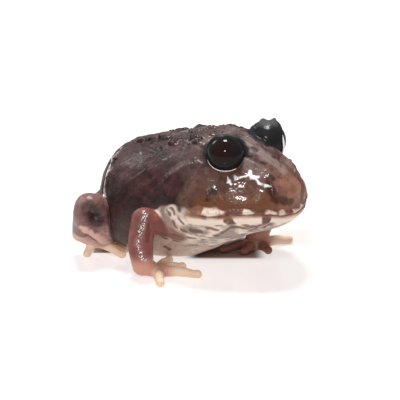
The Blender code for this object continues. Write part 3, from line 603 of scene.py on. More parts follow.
# The eye sockets: skin drawn snugly over each eyeball, open towards the side with a thin round lid edge, and
# two small points on the upper lid. The far eye is turned away a little more than the near one.
LID_AXES = {"right": (0.58, -0.76, 0.34), "left": (0.35, 0.92, 0.05)}
LID_OPENINGS, UPPER_LID, LID_THICKNESS, LID_DEPTH = {"right": 0.12, "left": 0.37}, 0.16, 0.14, 0.84
LID_POINTS, LID_POINT_RADIUS = [(-1.34, 0.32, 3.49), (0.23, 1.67, 3.35)], 0.5
LID_POINT_HEIGHTS = {"right": 0.1, "left": 0.36}
for word, side in SIDES.items():
    centre = np.array(sided(EYE_CENTRE, side))
    axis = np.array(LID_AXES[word]) / np.linalg.norm(LID_AXES[word])
    away = co - centre
    d = np.linalg.norm(away, axis=1)
    ray = away / np.maximum(d, 1e-6)[:, None]
    towards = ray @ axis
    edge = LID_OPENINGS[word] + UPPER_LID * smooth_step(0.1, 0.95, ray[:, 2])
    near = smooth_step(SOCKET_RADIUS + 1.6, SOCKET_RADIUS + 0.5, d)
    hug = smooth_step(edge - 0.6, edge - 0.1, towards) * near
    snug = np.minimum(d, EYE_RADIUS + LID_THICKNESS + 0.35 * np.maximum(d - SOCKET_RADIUS, 0))
    inside = smooth_step(edge - 0.02, edge + 0.09, towards) * near
    reach_in = d + (snug - d) * hug
    reach_in = reach_in + (EYE_RADIUS * LID_DEPTH - reach_in) * inside
    co = centre + ray * reach_in[:, None]
    forward = (co - centre) @ axis
    aside = co - centre - forward[:, None] * axis
    spread = np.maximum(np.linalg.norm(aside, axis=1), 1e-6)
    beside = smooth_step(EYE_RADIUS, EYE_RADIUS + 0.12, reach_in) * smooth_step(6.0, 5.0, reach_in)
    beside *= smooth_step(0, 0.3, forward) * np.clip(EYE_RADIUS + LID_THICKNESS - spread, 0, None)
    co = co + aside * (beside / spread)[:, None]
    for offset in LID_POINTS:
        swell(centre + sided(offset, side), LID_POINT_RADIUS, LID_POINT_HEIGHTS[word])
normal = normals()

# The warts of the back: low, dark and drawn out along the body, on both sides of the spine, raised in the
# skin. Each has its place along the trunk, its angle from the right flank over the back, radius, height and
# stretch, and four smaller ones beside it.
WARTS = [
    (-11.2, 70, 0.55, 0.3, 2.2), (-9.1, 72, 0.65, 0.36, 1.8), (-7.2, 73, 0.5, 0.3, 2.4),
    (-5, 74, 0.7, 0.42, 2), (-2.4, 66, 0.65, 0.34, 2.8), (-1, 79, 0.6, 0.34, 2), (1, 70, 0.6, 0.34, 1.8),
    (3.2, 64, 0.55, 0.3, 2), (1.9, 61, 0.45, 0.24, 1.6), (3.4, 70, 0.55, 0.3, 1.6), (0.8, 92, 0.55, 0.3, 2),
    (2.5, 104, 0.6, 0.3, 1.6), (5.6, 82, 0.5, 0.24, 1.8), (8.4, 90, 0.45, 0.2, 1.6),
    (-13.4, 76, 0.45, 0.22, 1.6), (-4, 60, 0.45, 0.22, 1.8), (-7.6, 92, 0.55, 0.3, 1.8),
    (-3.6, 98, 0.6, 0.32, 1.8), (-10.6, 100, 0.55, 0.3, 1.6), (-0.6, 112, 0.6, 0.34, 2),
    (-6.2, 110, 0.6, 0.34, 2.2), (-9.4, 114, 0.5, 0.3, 1.8), (-2.8, 120, 0.55, 0.3, 2),
    (1.4, 118, 0.55, 0.28, 1.8), (3.6, 112, 0.45, 0.24, 1.6), (-5, 128, 0.5, 0.26, 1.8),
    (-12.8, 108, 0.45, 0.22, 1.6), (-8, 132, 0.45, 0.22, 1.6),
]
draw = random.Random(11)
wart_mask = np.zeros(count)


def wart(x, degrees, radius, height, stretch, slant):
    """One wart at a place on the trunk, drawn out along the body, rounded at the top."""
    global co
    foot = Vector(trunk_points(np.array([x]), np.array([math.radians(degrees)]))[0])
    _, nearest, _ = tree.find(foot)
    foot, up = base[nearest], normal[nearest]
    along = np.array([math.cos(slant), math.sin(slant), 0.0])
    along = along - up * (along @ up)
    along /= np.linalg.norm(along)
    members = np.array([i for _, i, _ in tree.find_range(foot, radius * stretch * 2)])
    offset = base[members] - foot
    run = offset @ along / stretch
    rest = np.linalg.norm(offset - np.outer(offset @ along, along), axis=1)
    d = np.sqrt(run ** 2 + rest ** 2) / radius
    lift = smooth_step(1.0, 0.1, d)
    co[members] += up * (height * lift)[:, None]
    wart_mask[members] = np.maximum(wart_mask[members], smooth_step(0.15, 0.75, lift))


SMALL_WARTS, SMALL_SHARE = 4, 0.55
for x, degrees, radius, height, stretch in WARTS:
    wart(x, degrees, radius, height, stretch, draw.uniform(-0.6, 0.6))
    for _ in range(SMALL_WARTS):
        wart(x + draw.uniform(-1.5, 1.5), degrees + draw.uniform(-6, 6), radius * SMALL_SHARE,
             height * SMALL_SHARE, stretch * draw.uniform(0.6, 1.3), draw.uniform(-0.7, 0.7))

# The loose skin of flanks, throat and limbs: soft swells, and fine streaks that run forwards and up the
# flanks. The back and cheeks are finely crumpled, and toes and fingers are the smoothest.
normal = normals()
streaked = np.stack([(base[:, 0] + base[:, 2]) / 5, base[:, 0] - base[:, 2], base[:, 1]], axis=1)
on_flank = np.exp(-((base[:, 2] - 13) / 6.5) ** 2) * smooth_step(7, 2, base[:, 0])
swell_size = 0.07 * ripples(base, 3.4, 3, stretch=(1.6, 1, 1)) + 0.014 * ripples(base, 1.1, 4)
swell_size += 0.014 * on_flank * ripples(streaked, 1.3, 12)
on_back = smooth_step(50, 64, around) * smooth_step(130, 116, around)
on_back *= smooth_step(9, 6, base[:, 0]) * on_trunk
crumpled = np.stack([base[:, 0] / 3.2, base[:, 1] + 0.25 * base[:, 0], base[:, 2]], axis=1)
swell_size += 0.055 * on_back * ripples(crumpled, 1.0, 13, waves=30)
on_cheek = np.exp(-((base[:, 0] - 15.2) ** 2 + (np.abs(base[:, 1]) - 6.4) ** 2
                    + (base[:, 2] - 18.2) ** 2) / 2.6 ** 2)
swell_size += 0.03 * on_cheek * ripples(base, 1.3, 14, waves=30)
co += normal * (swell_size * (1 - 0.75 * on_digit) * (1 - 0.5 * on_limb))[:, None]
LOWEST_SKIN = 0.02
co[:, 2] = np.maximum(co[:, 2], LOWEST_SKIN)
co = relax(co, 2, np.full(count, 0.5))

finished = (co - np.array(REST_POINT)) * MM
skin_mesh.vertices.foreach_set("co", finished.ravel())
skin_mesh.update()
skin_mesh.shade_smooth()

# The markings of the skin, held on its points as masks: purple-brown back with dark warts and blotches,
# orange-brown snout, cream throat and lips with brown bars and streaks, reddish limbs and peach digits. The
# material mixes them. Turns run round the jaws from straight ahead, in degrees, positive on the right side.
LIP_CREAM = [  # first and last turn and strength of each pale bar, and of each dark bar below
    (80, 62.5, 0.95), (46, 37, 0.9), (25, 17.5, 0.85), (15.5, 8.5, 0.7), (0.5, -12, 0.8), (-28, -38, 0.9),
    (-56, -80, 1),
]
LIP_DARK = [
    (61.5, 47, 0.85), (36, 27, 0.85), (17.5, 15.5, 0.5), (7.5, 1.5, 0.7), (-15, -25, 0.9), (-41, -52, 0.9),
]
JAW_BARS = [(60, 54), (29.5, 22.5), (-18, -24), (-50, -56)]
THROAT_MARKS = [  # half width and line of each brown mark on the right side of jaw and throat
    (0.34, [(14.1, -9.9, 13), (14.4, -9.5, 12), (15.5, -8.7, 12.2), (15.9, -8, 11.6),
            (16.3, -7, 10.9), (17, -6.2, 10.9)]),
    (0.3, [(18.8, -5.6, 13.2), (18.8, -5.3, 12.3), (19.2, -4.4, 12), (18.4, -5.2, 11.5),
            (17, -5.7, 10.5), (15.2, -5.7, 9.4)]),
    (0.32, [(10.2, -8.9, 8.3), (12.3, -8.9, 9.6), (14.1, -8.6, 10.6), (15.2, -7.7, 10.6),
            (15.8, -6.5, 10.1)]),
    (0.34, [(9.8, -12.5, 12.4), (10.4, -12.1, 12), (11.4, -11.3, 11.5), (12.6, -10.4, 11.3)]),
    (0.3, [(7.2, -13.3, 12.1), (8.2, -12.9, 11.7), (8.8, -12.5, 11.2)]),
    (0.36, [(10.6, -11, 10.2), (11.5, -10, 9.9)]),
    (0.42, [(7.4, -12, 9.5), (8.5, -11.3, 9.2)]),
    (0.32, [(5.4, -10.9, 7.4), (6.2, -10.1, 7.1)]),
    (0.16, [(7.4, -10.7, 8.1), (9.1, -9, 7.8)]),
    (0.22, [(6.9, -9, 6.8), (7.5, -8.8, 6.9)]),
    (0.24, [(8.1, -7.3, 6.5), (8.8, -6.9, 6.7)]),
    (0.2, [(10.7, -6.4, 7.4), (11, -5.8, 7.4)]),
    (0.2, [(12.5, -4.6, 7.9), (13.6, -5, 8.5)]),
    (0.16, [(2.9, -8.8, 4.7), (4.8, -7.7, 5.1)]),
    (0.22, [(4.1, -13.6, 13.3), (4.8, -13.6, 12.4)]),
    (0.2, [(3.2, -13.8, 12.6), (3.8, -13.8, 11.9)]),
    (0.26, [(0.9, -13.3, 7.5), (1.4, -12.3, 6.6)]),
    (0.14, [(2.7, -12.8, 8), (4.2, -11.6, 7.5), (5.4, -10.4, 7)]),
    (0.28, [(0, -10.8, 4.3), (0, -9.6, 3.4)]),
    (0.13, [(14.8, -5, 9), (17.5, -4.8, 10.3), (19, -4.1, 11.3), (20.3, -0.6, 11.8)]),
    (0.2, [(5.6, -13.5, 11.6), (6.6, -13, 10.6)]),
    (0.18, [(5.3, -12.7, 9.5), (5.9, -12, 8.7)]),
    (0.18, [(4.2, -13.6, 10.9), (4.6, -13, 9.6)]),
    (0.2, [(2.6, -11.4, 6.3), (3.2, -10.3, 5.8)]),
    (0.16, [(5.6, -6.6, 5), (6.9, -5.9, 5.4)]),
]
BLOTCHES = [  # place and radius of each dark blotch of colour
    (-6.8, -11, 18.6, 1), (-4.1, -11.5, 18.4, 0.8), (1.8, -12, 17.7, 1), (-0.5, -12.8, 16.3, 1.2),
    (10.7, -10.4, 16.7, 0.9), (10.3, -10.9, 15.9, 0.8), (-2, -8.8, 21, 0.8), (2.4, -7.6, 22.4, 0.9),
    (7.4, -8.8, 20.8, 0.8), (-5.4, 11.6, 18.4, 1.1), (-1.2, 12.6, 16.6, 1.1), (2.6, 11.6, 18, 0.9),
    (10.5, 10.7, 16.6, 1.1), (-10.2, -13.4, 14.8, 1.2), (-9, 13.8, 14.6, 1.2), (-3, 9.4, 20.6, 0.9),
    (12.9, -1.2, 23.2, 0.6), (9.7, -10.4, 16, 1.1), (9.2, -10.8, 15.2, 0.8),
]
FLANK_GLINTS = [  # short lines of painted highlight along back and flank
    [(-8.2, 8.5, 20), (-7.6, 9.1, 19.8)], [(-1.5, 9.9, 20.1), (-1.1, 9.5, 20.5)],
    [(-0.3, 9.2, 20.7), (-0.2, 8.6, 21.2)], [(-9.6, 10.3, 18.5), (-8.8, 10.7, 18.4)],
    [(5.9, 8.7, 21.4), (6.5, 8.9, 21.1)], [(1, 14.1, 12.4), (1.4, 14.2, 11.9)],
]
ARM_STRIPE = [(0.7, 16.7, 12.2), (0.8, 17.5, 11.2), (0.7, 17.7, 10), (0.3, 17.7, 8.6), (-0.1, 17.6, 7),
              (-0.2, 17.2, 5.3), (-0.5, 16.4, 3.7), (-0.5, 15.4, 1.8)]
# Lines of painted sheen: over the cheek between eye and nostril, and along the brow.
LOREAL_SHEEN_LINE = [(13.2, -4.6, 21.4), (14.6, -4.4, 21), (15.8, -4, 20.5), (17, -3.2, 19.9)]
BROW_SHEEN_LINE = [(9.8, -0.2, 24.1), (12.3, -0.7, 23.2), (14.5, -0.6, 22.1), (16.3, 0, 21), (17.7, 0.4, 20.2)]


def interval(value, first, last, soft=1.2):
    """1 where the value lies between first and last, and 0 beyond, with soft edges."""
    low, high = min(first, last), max(first, last)
    return smooth_step(low - soft, low + soft, value) * smooth_step(high + soft, high - soft, value)


def near_limb(*words):
    """How near each point is to limbs whose names start so, as a share of their radius."""
    return np.min([limb_near[name][0] for name in limb_near if name.startswith(words)], axis=0)


# The edges of patches and bands wander a little, so that none is a clean circle or stripe.
wander = base + 0.3 * np.stack([ripples(base, 1.8, seed) for seed in (21, 22, 23)], axis=1)


def strongest(masks):
    """The strongest of several masks at each point."""
    return np.max(list(masks), axis=0)


def spots(places):
    """Soft round patches at places on the skin, each with a radius."""
    total = np.zeros(count)
    for *place, radius in places:
        total = np.maximum(total, smooth_step(1.3, 0.5, np.linalg.norm(wander - place, axis=1) / radius))
    return total


def along(paths, radius, samples=30):
    """Soft bands along smooth lines on the skin."""
    total = np.zeros(count)
    for points in paths:
        line = on_skin(points, samples)
        close = in_box_round(line, 2 + radius)
        d, _ = distance_to_path(line, (base[close] + wander[close]) / 2)
        total[close] = np.maximum(total[close], smooth_step(1.35, 0.6, d / radius))
    return total


def band(path, radius):
    """A soft band along a line and along its mirror image."""
    return along(both_sides(path), radius)


def throat_marks():
    """The brown marks of jaw and throat, as listed on the right and with a little drift on the left."""
    total = np.zeros(count)
    for radius, line in THROAT_MARKS:
        drift = np.array([draw.uniform(-0.7, 0.7), 0, draw.uniform(-0.3, 0.3)])
        mirrored = [(px + drift[0], -py, pz + drift[2]) for px, py, pz in line]
        total = np.maximum(total, along([line, mirrored], radius * 1.45))
    return total


x, y, z = base[:, 0], base[:, 1], base[:, 2]
turn = np.degrees(np.arctan2(-y, x - 8.0))
wavy_turn = turn + 1.5 * ripples(base, 1.8, 5)
lip_top = 0.98 + 0.6 * smooth_step(60, 72, np.abs(turn))
lip_height = (above_mouth + 0.2 * ripples(base, 1.3, 6) - 0.34) / (lip_top - 0.34)
lip_band = interval(lip_height, 0, 1, 0.22) * in_mouth
jaw_band = interval(above_mouth + 0.15 * ripples(base, 2.2, 7), -1.7, -0.25, 0.2) * in_mouth
pale_edge = smooth_through([-12, -7, -3, 0, 1.5, 3, 6, 8], [1.5, 3.5, 7.0, 11.4, 13.4, 13.6, 13.6, 13.4], x)
pale_edge = np.where(x > 8, smooth_through(MOUTH_X, MOUTH_Z, x), pale_edge)
belly_net = smooth_step(0.05, 0.5, np.abs(ripples(base, 1.5, 32)))
facing_up = normal[:, 2]
stripe = band(ARM_STRIPE, 0.75)
wet_cheek = strongest(band(path, 0.45 + 1.6 * radius) for radius, path in WET_FOLDS)
long_warts = strongest(band(path, 1.25 * radius) for radius, path in LONG_WARTS)
jaw_bar = strongest(interval(wavy_turn, a, b, 0.9) for a, b in JAW_BARS)
# two spots of painted shade, at the lower end and the middle of the snout groove: place and radius
GROOVE_END_SHADE, SNOUT_SHADE_SPOT = (20.55, -0.9, 14.9, 0.8), (19.6, -3.5, 16.4, 1.3)
markings = {
    "limb": on_limb,
    "thigh": smooth_step(1.5, 1.1, near_limb("thigh")) * on_limb,
    "shank": smooth_step(1.25, 1.0, near_limb("shank")) * on_limb,
    # painted shade in the hollow behind each knee
    "crease": band(KNEE_HOLLOW, 1.5),
    # paler skin along the thigh fold and the shank ridge, partly painted highlight on their tops
    "ridge": np.maximum(band(THIGH_FOLD, 0.5), band(SHANK_RIDGE, 0.9)),
    "shoulder": band([(1.6, 14.6, 9.6), (2.9, 12.9, 8.0), (4.2, 12.0, 7.2)], 1.5),
    "thigh_pale": spots([(-10.4, side * 14.4, 5.6, 2.3) for side in SIDES.values()]),
    "palm": smooth_step(1.9, 1.1, near_limb("hand")) * smooth_step(5.6, 2.0, z),
    "foot": np.maximum(smooth_step(1.7, 1.2, near_limb("foot")) * smooth_step(6.0, 4.2, z),
                       band(INSTEP, 0.85)),
    "shaded": smooth_step(11.5, 10.0, y) * smooth_step(2.0, 2.6, y) * smooth_step(-4, -1, x) * on_digit,
    "arm_blotch": along([[(0.4, -17.6, 10.6), (-0.1, -17.9, 8.4)], [(1.6, -16.9, 10.4), (1.3, -17.0, 7.2)],
                         [(0.6, 17.6, 10.4), (0.4, 17.8, 8.0)]], 0.42),
    "elbow": spots([(0.0, side * 17.4, 11.8, 2.0) for side in SIDES.values()]) * on_limb,
    "digit": on_digit,
    "throat": smooth_step(0.35, -0.35, z - pale_edge + 0.45 * ripples(base, 2.4, 8)) * on_trunk,
    "belly": smooth_step(6.0, 1.0, x) * smooth_step(12.0, 7.0, z) * on_trunk,
    "streak": np.maximum(throat_marks(), 0.35 * (1 - belly_net) * smooth_step(5, 1, x)),
    "snout": np.exp(-((x - 20.3) ** 2 + (y - 0.3) ** 2 + (z - 16.4) ** 2) / 3.9 ** 2) * on_trunk,
    "above_lip": interval(above_mouth, 0.6, 3.6, 1.2) * smooth_step(6, 10, x) * on_trunk,
    "cheek": smooth_step(5, 12, x) * smooth_step(23, 19, z) * on_trunk,
    # painted sheen on skin that faces up, over the head and the front of the back
    "crown": smooth_step(0.55, 0.95, facing_up) * smooth_step(-2, 8, x) * on_trunk,
    # painted sheen along the brow and over the cheeks
    "brow_band": np.maximum(along([BROW_SHEEN_LINE], 1.2), 0.5 * band(LOREAL_SHEEN_LINE, 1.1)),
    # painted shade in the grooves beside the snout knob and in spots below it, fading out on the left side
    "groove": strongest([band(GROOVE, 0.8), spots([GROOVE_END_SHADE]), 0.7 * spots([SNOUT_SHADE_SPOT])])
              * smooth_step(1.6, -0.4, 0.6 * y),
    "wart": np.maximum(wart_mask, long_warts) * smooth_step(-0.9, 0.2, ripples(base, 0.7, 24)),
    "maroon": spots([(1.8, -12.0, 17.7, 2.3), (-0.8, -12.8, 16.3, 2.2), (3.4, -11.8, 16.4, 1.8),
                     (1.4, 12.1, 17.4, 2.2)]),
    "blotch": spots(BLOTCHES),
    "lip_band": lip_band,
    "lip_cream": lip_band * strongest(share * interval(wavy_turn, a, b) for a, b, share in LIP_CREAM),
    "lip_dark": lip_band * strongest(share * interval(wavy_turn, a, b) for a, b, share in LIP_DARK),
    "jaw_cream": jaw_band * (1 - jaw_bar),
    "jaw_bar": jaw_bar * interval(above_mouth, -1.6, -0.2, 0.3) * in_mouth,
    "mouth": np.exp(-((above_mouth - 0.04) / 0.34) ** 2) * in_mouth,
    "tan": band([(6.9, 12.0, 18.2), (6.5, 12.3, 16.4), (6.0, 12.7, 14.6)], 1.1),
    "flank": np.exp(-(((x + 8) / 8.0) ** 2 + ((z - 9.0) / 6.0) ** 2)) * on_trunk,
    "armpit": smooth_step(12, 8.5, z) * smooth_step(-9, -5, x) * smooth_step(2.4, 1.0, x) * on_trunk,
    # painted highlights: a white line along the rump fold, short glints on the flanks and on the wet folds of
    # the right cheek
    "sheen": strongest([0.62 * band(RUMP_FOLD, 0.34),
                        *[0.2 * band(path, 0.15) for path in FLANK_GLINTS],
                        *[along([path], 0.85 * radius) for radius, path in WET_FOLDS]]),
    # painted shade along the furrows of the crown
    "furrow_shade": strongest(band(path, radius) for radius, path in HEAD_LINES),
    # painted highlight: fine white flecks along the wet stripe of each forearm
    "arm_glint_flecks": band(ARM_STRIPE, 0.36),
    "wet": strongest([wet_cheek, stripe, band(RUMP_FOLD, 0.6)]),
    "crinkle": np.maximum(0.6 * (1 - on_digit) * (1 - 0.6 * on_limb) * (1 - 0.7 * wet_cheek), stripe),
}
# The lids are black with a painted grey sheen at the top, and less wet than the cheeks and the back.
lid = np.zeros(count)
for word, side in SIDES.items():
    centre = np.array(sided(EYE_CENTRE, side))
    axis = np.array(LID_AXES[word]) / np.linalg.norm(LID_AXES[word])
    away = base - centre
    d = np.linalg.norm(away, axis=1)
    towards, height = away @ axis / d, away[:, 2] / d
    black = smooth_step(4.9, 4.1, d + 0.25 * ripples(base, 2.0, 9))
    black *= smooth_step(-0.5, -0.1, height + 0.6 * np.maximum(towards, 0))
    lid = np.maximum(lid, black)
markings["lid"] = lid
markings["lid_top"] = lid * smooth_step(25.4, 26.2, z)
markings["dull"] = np.maximum(lid, 0.7 * markings["wart"])
markings["crinkle"] = markings["crinkle"] * (1 - lid) * (1 - 0.8 * markings["wart"]) + 0.3 * lid
wet_back = 0.26 * smooth_step(20.5, 23.5, z) * smooth_step(9, 6, x)
markings["wet"] = strongest([markings["wet"], 0.12 * lid, wet_back])
for name, values in markings.items():
    attribute = skin_mesh.attributes.new(name, "FLOAT", "POINT")
    attribute.data.foreach_set("value", np.clip(values, 0, 1).astype(np.float32))

# The skin's look: the markings laid over one another as colours, under a film of water that is thick in some
# places and thin in others. The flesh lets some light through, most of all in the limbs.


def wet_film_group():
    """How wet a surface is: patches of thicker water, and fine grains that the water leaves bare."""
    group = bpy.data.node_groups.new("wet_film", "ShaderNodeTree")
    for name, default in (("Grain Size", 2600.0), ("Patch Size", 420.0),
                          ("Roughness Low", 0.12), ("Roughness High", 0.4)):
        socket = group.interface.new_socket(name=name, in_out="INPUT", socket_type="NodeSocketFloat")
        socket.default_value = default
    for name in ("Roughness", "Height"):
        group.interface.new_socket(name=name, in_out="OUTPUT", socket_type="NodeSocketFloat")
    given = group.nodes.new("NodeGroupInput").outputs
    place = add_node(group, "TexCoord", {}).outputs["Object"]
    thicker = add_node(group, "TexNoise", {"Vector": place, "Scale": given["Patch Size"], "Detail": 3.0})
    grains = add_node(group, "TexVoronoi", {"Vector": place, "Scale": given["Grain Size"]}, feature="F1")
    roughness = between_levels(group, thicker.outputs["Fac"], 0.35, 0.65, given["Roughness Low"],
                               given["Roughness High"], "LINEAR")
    dome = calculated(group, "SUBTRACT", 1.0, grains.outputs["Distance"])
    half_dome = calculated(group, "MULTIPLY", dome, 0.35)
    height = calculated(group, "MULTIPLY_ADD", thicker.outputs["Fac"], 0.55, half_dome)
    fill(group, group.nodes.new("NodeGroupOutput"), {"Roughness": roughness, "Height": height})
    return group


wet_film = wet_film_group()
flesh, flesh_tree = new_material("wet_frog_skin")
over_frog = add_node(flesh_tree, "TexCoord", {}).outputs["Object"]
COLOURS = {
    "back": (0.046, 0.02, 0.019), "back_light": (0.085, 0.043, 0.041), "flank": (0.016, 0.007, 0.007),
    "red": (0.072, 0.026, 0.026), "maroon": (0.088, 0.024, 0.028), "hollow": (0.034, 0.018, 0.018),
    "shank_pale_and_sheen": (0.27, 0.175, 0.16), "shoulder": (0.15, 0.048, 0.04), "tan": (0.135, 0.072, 0.05),
    "foot": (0.59, 0.375, 0.315), "cheek": (0.11, 0.046, 0.032), "crown": (0.2, 0.14, 0.13),
    "sheen_on_brow": (0.25, 0.18, 0.165), "snout": (0.3, 0.14, 0.09), "above_lip": (0.14, 0.048, 0.02),
    "groove": (0.05, 0.013, 0.008), "blotch": (0.02, 0.007, 0.008), "cream": (0.74, 0.62, 0.52),
    "throat": (0.3, 0.228, 0.195), "belly": (0.52, 0.39, 0.31), "streak": (0.12, 0.058, 0.046),
    "lip": (0.37, 0.175, 0.12), "lip_dark": (0.098, 0.038, 0.027), "limb": (0.205, 0.057, 0.045),
    "limb_dark": (0.12, 0.032, 0.026), "thigh": (0.165, 0.086, 0.084), "thigh_pale": (0.4, 0.23, 0.205),
    "shank": (0.165, 0.085, 0.08), "palm": (0.56, 0.28, 0.215), "elbow": (0.15, 0.066, 0.058),
    "digit": (0.77, 0.575, 0.425), "wart": (0.012, 0.008, 0.008), "lid": (0.015, 0.015, 0.016),
    "lid_top": (0.07, 0.072, 0.074), "sheen": (0.9, 0.88, 0.88), "armpit": (0.055, 0.026, 0.018),
}


def mark(name):
    """One of the markings held on the skin's points."""
    return add_node(flesh_tree, "Attribute", {}, attribute_name=name).outputs["Fac"]


def patches(scale, detail, low, high, first=0.0, last=1.0, stretch=(1, 1, 1), turn=(0, 0, 0)):
    """Noise over the frog, with a scale for each direction, and soft edges from low to high."""
    mapping = add_node(flesh_tree, "Mapping", {"Vector": over_frog, "Scale": stretch, "Rotation": turn})
    inputs = {"Vector": mapping.outputs["Vector"], "Scale": scale, "Detail": detail}
    texture = add_node(flesh_tree, "TexNoise", inputs)
    return between_levels(flesh_tree, texture.outputs["Fac"], low, high, first, last)


def graded(name, low, high, first, last):
    """Runs from first to last while a mark runs from low to high."""
    return between_levels(flesh_tree, mark(name), low, high, first, last)


def layered(colour, *layers):
    """Lays colours one over another, each by the product of marks, patches and plain shares."""
    for over, *factors in layers:
        shares = [mark(factor) if isinstance(factor, str) else factor for factor in factors]
        share = shares[0]
        for factor in shares[1:]:
            share = calculated(flesh_tree, "MULTIPLY", share, factor)
        over = (*COLOURS[over], 1) if isinstance(over, str) else over
        colour = laid_over(flesh_tree, colour, over, share)
    return colour


pale = layered(
    (*COLOURS["throat"], 1),
    ("cream", patches(300, 3.0, 0.4, 0.6)), ("belly", "belly"), ("streak", "streak", 0.85))
limb_colour = layered(
    (*COLOURS["limb"], 1),
    ("limb_dark", "arm_blotch"), ("elbow", "elbow", 0.7), ("thigh", "thigh"), ("shank", "shank"),
    # pale skin with painted highlight along the thigh fold and the shank ridge, and painted shade in the knee
    # hollow
    ("shank_pale_and_sheen", "ridge", 0.45), ("hollow", "crease", 0.9),
    ("thigh_pale", "thigh_pale", patches(1600, 2.0, 0.4, 0.58, 0.35, 1.0)),
    ("palm", patches(500, 4.0, 0.5, 0.72), 0.15))
colour = layered(
    (*COLOURS["back"], 1),
    ("back_light", patches(260, 5.0, 0.42, 0.72, stretch=(0.6, 1, 1))),
    ("red", patches(150, 3.0, 0.52, 0.72, turn=(0.4, 0.2, 0)), 0.7),
    ("flank", patches(210, 4.0, 0.5, 0.62, stretch=(0.5, 1, 1.2), turn=(0, 0.7, 0)), 0.8),
    # painted sheen on skin that faces up
    ("flank", "flank"), ("armpit", "armpit"), ("crown", "crown", patches(200, 4.0, 0.38, 0.66)),
    ("cheek", "cheek"), ("tan", "tan", 0.7), ("red", patches(420, 4.0, 0.5, 0.66), 0.55),
    ("above_lip", "above_lip"), ("snout", "snout"),
    # random darker mottling over the snout, in the same dark brown as the painted groove shade
    ("groove", "snout", patches(330, 3.0, 0.46, 0.66, turn=(0, 0.5, 0.9)), 0.35),
    # painted sheen along the brow and the cheek between eye and nostril
    ("sheen_on_brow", "brow_band", patches(500, 5.0, 0.34, 0.58, 0.4, 1.0, stretch=(0.4, 1, 1))),
    # painted shade along the crown's furrows and in the grooves beside the snout
    ("blotch", "furrow_shade", 0.45), ("groove", "groove", 0.85), ("flank", patches(900, 4.0, 0.54, 0.7), 0.45),
    # painted highlights on the rump fold, the flanks and the right cheek
    ("maroon", "maroon", 0.45), ("blotch", "blotch", 0.85), ("sheen", "sheen", patches(900, 3.0, 0.36, 0.46)),
    (pale, "throat"), ("cream", "jaw_cream"), ("streak", "jaw_bar"), ("lip", "mouth"),
    ("lip", "lip_band", 0.4), ("lip_dark", "lip_dark"),
    ("cream", "lip_cream", patches(1500, 3.0, 0.34, 0.5, 0.55, 1.0)),
    (limb_colour, "limb"), ("shoulder", "shoulder", 0.8), ("palm", "palm"), ("foot", "foot"),
    # painted highlight flecks along the forearm's wet stripe
    ("sheen", "arm_glint_flecks", patches(3800, 1.0, 0.5, 0.6)), ("digit", "digit"), ("limb", "shaded", 0.9),
    # painted grey sheen on the tops of the lids
    ("wart", "wart", 0.85), ("lid", "lid"), ("lid_top", "lid_top"))
film_inputs = {"Grain Size": 2800.0, "Roughness Low": 0.36, "Roughness High": 0.58}
film = add_node(flesh_tree, "Group", film_inputs, node_tree=wet_film)
bump = add_node(flesh_tree, "Bump", {
    "Distance": graded("crinkle", 0.6, 1.0, 0.00018, 0.0005),
    "Strength": graded("crinkle", 0.0, 1.0, 0.04, 0.95),
    "Height": film.outputs["Height"],
})
fill(flesh_tree, flesh_tree.nodes["Principled BSDF"], {
    "Base Color": colour, "Roughness": film.outputs["Roughness"], "IOR": 1.33,
    "Normal": bump.outputs["Normal"], "Coat Normal": bump.outputs["Normal"],
    "Coat Weight": graded("wet", 0.05, 0.6, 0.11, 1.0),
    "Coat IOR": 1.5, "Coat Roughness": 0.16,
    "Specular IOR Level": graded("dull", 0.0, 1.0, 0.42, 0.12),
    "Subsurface Weight": graded("limb", 0.0, 1.0, 0.06, 0.25),
    "Subsurface Radius": (1.0, 0.35, 0.22), "Subsurface Scale": 0.001,
})
skin_mesh.materials.clear()
skin_mesh.materials.append(flesh)
nodes_of_flesh = [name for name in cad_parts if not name.startswith("eye_")]
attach(skin, "root")
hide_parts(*nodes_of_flesh)

# The eyes: two full, glossy black balls, set deep in their sockets and held by the lids.
# Behind the clear front the iris is so dark that it shows only as a trace of deep red.
EYE_SEGMENTS, EYE_RINGS = 96, 64
EYE_TINTS = [(0.86, (0.011, 0.01, 0.01, 1)), (1.0, (0.02, 0.007, 0.007, 1))]  # from the back to the front
cornea, eye_tree = new_material("black_eye")
eye_place = add_node(eye_tree, "TexCoord", {}).outputs["Generated"]
eye_split = add_node(eye_tree, "SeparateXYZ", {"Vector": eye_place})
eye_ramp = add_node(eye_tree, "ValToRGB", {"Fac": eye_split.outputs["Z"]})
for element, (position, tint) in zip(eye_ramp.color_ramp.elements, EYE_TINTS):
    element.position, element.color = position, tint
eye_film = add_node(eye_tree, "Group", {}, node_tree=wet_film)
fill(eye_tree, eye_film, {"Roughness Low": 0.03, "Roughness High": 0.06})
fill(eye_tree, eye_tree.nodes["Principled BSDF"], {
    "Base Color": eye_ramp.outputs["Color"], "Roughness": eye_film.outputs["Roughness"], "IOR": 1.2,
})
for word, side in SIDES.items():
    ball = bmesh.new()
    bmesh.ops.create_uvsphere(ball, u_segments=EYE_SEGMENTS, v_segments=EYE_RINGS, radius=EYE_RADIUS * MM)
    mesh = mesh_of("eyeball_" + word, ball)
    mesh.shade_smooth()
    eye = placed("eyeball_" + word, mesh)
    eye.location = in_frame(sided(EYE_CENTRE, side))
    eye.rotation_quaternion = Vector(sided(EYE_AXIS, side)).to_track_quat("Z", "Y")
    mesh.materials.append(cornea)
    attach(eye, "root")
    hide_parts("eye_" + word)
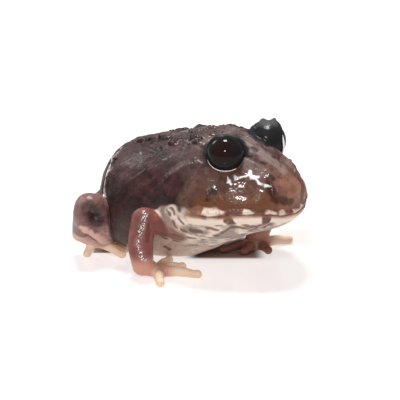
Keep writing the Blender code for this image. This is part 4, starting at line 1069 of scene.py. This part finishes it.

# The edge of each lower lid: a thin wet roll of skin on the eyeball, pale as a painted highlight.
# Each is a closed tube along the opening of the lid, thinner towards its ends, and glows slightly as painted
# light.
LID_EDGE_POINTS, LID_EDGE_SIDES = 60, 8
LID_EDGES = {  # first and last turn from straight down, place along the axis beside and below, half thickness
    "right": (-70, 72, 0.14, 0.46, 0.062),
    "left": (-128, 60, 0.47, 0.47, 0.22),
}
lid_edge_highlight_look, edge_tree = new_material("lid_edge_painted_highlight")
fill(edge_tree, edge_tree.nodes["Principled BSDF"], {
    "Base Color": (0.9, 0.89, 0.88, 1), "Roughness": 0.2,
    "Emission Color": (1, 1, 1, 1), "Emission Strength": 0.25,
})
for word, side in SIDES.items():
    centre, axis = Vector(sided(EYE_CENTRE, side)), Vector(LID_AXES[word]).normalized()
    down = (Vector((0, 0, -1)) + axis * axis.z).normalized()
    sideways = axis.cross(down)
    first, last, beside_along, below_along, edge_radius = LID_EDGES[word]
    rings = []
    for i in range(LID_EDGE_POINTS):
        share = i / (LID_EDGE_POINTS - 1)
        turned = math.radians(first + (last - first) * share)
        outwards = down * math.cos(turned) + sideways * math.sin(turned)
        out_along = beside_along + (below_along - beside_along) * max(math.cos(turned), 0) ** 1.6
        spot = (axis * out_along + outwards * math.sqrt(1 - out_along ** 2)).normalized()
        size = edge_radius * math.sin(math.pi * min(max(share, 0.02), 0.98)) ** 0.5
        tip = centre + spot * (EYE_RADIUS + edge_radius * 0.3)
        over = spot.cross(outwards.cross(axis))
        rings.append([in_frame(tip + (spot * math.cos(t) + over * math.sin(t)) * size)
                      for t in np.linspace(0, 2 * math.pi, LID_EDGE_SIDES, endpoint=False)])
    roll = bmesh.new()
    ends = [sum(ring, Vector()) / LID_EDGE_SIDES for ring in (rings[0], rings[-1])]
    closed_loft(roll, rings, *ends)
    bmesh.ops.recalc_face_normals(roll, faces=roll.faces)
    mesh = mesh_of("lid_edge_" + word, roll)
    mesh.shade_smooth()
    mesh.materials.append(lid_edge_highlight_look)
    lid_edge = placed("lid_edge_" + word, mesh)
    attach(lid_edge, "root")
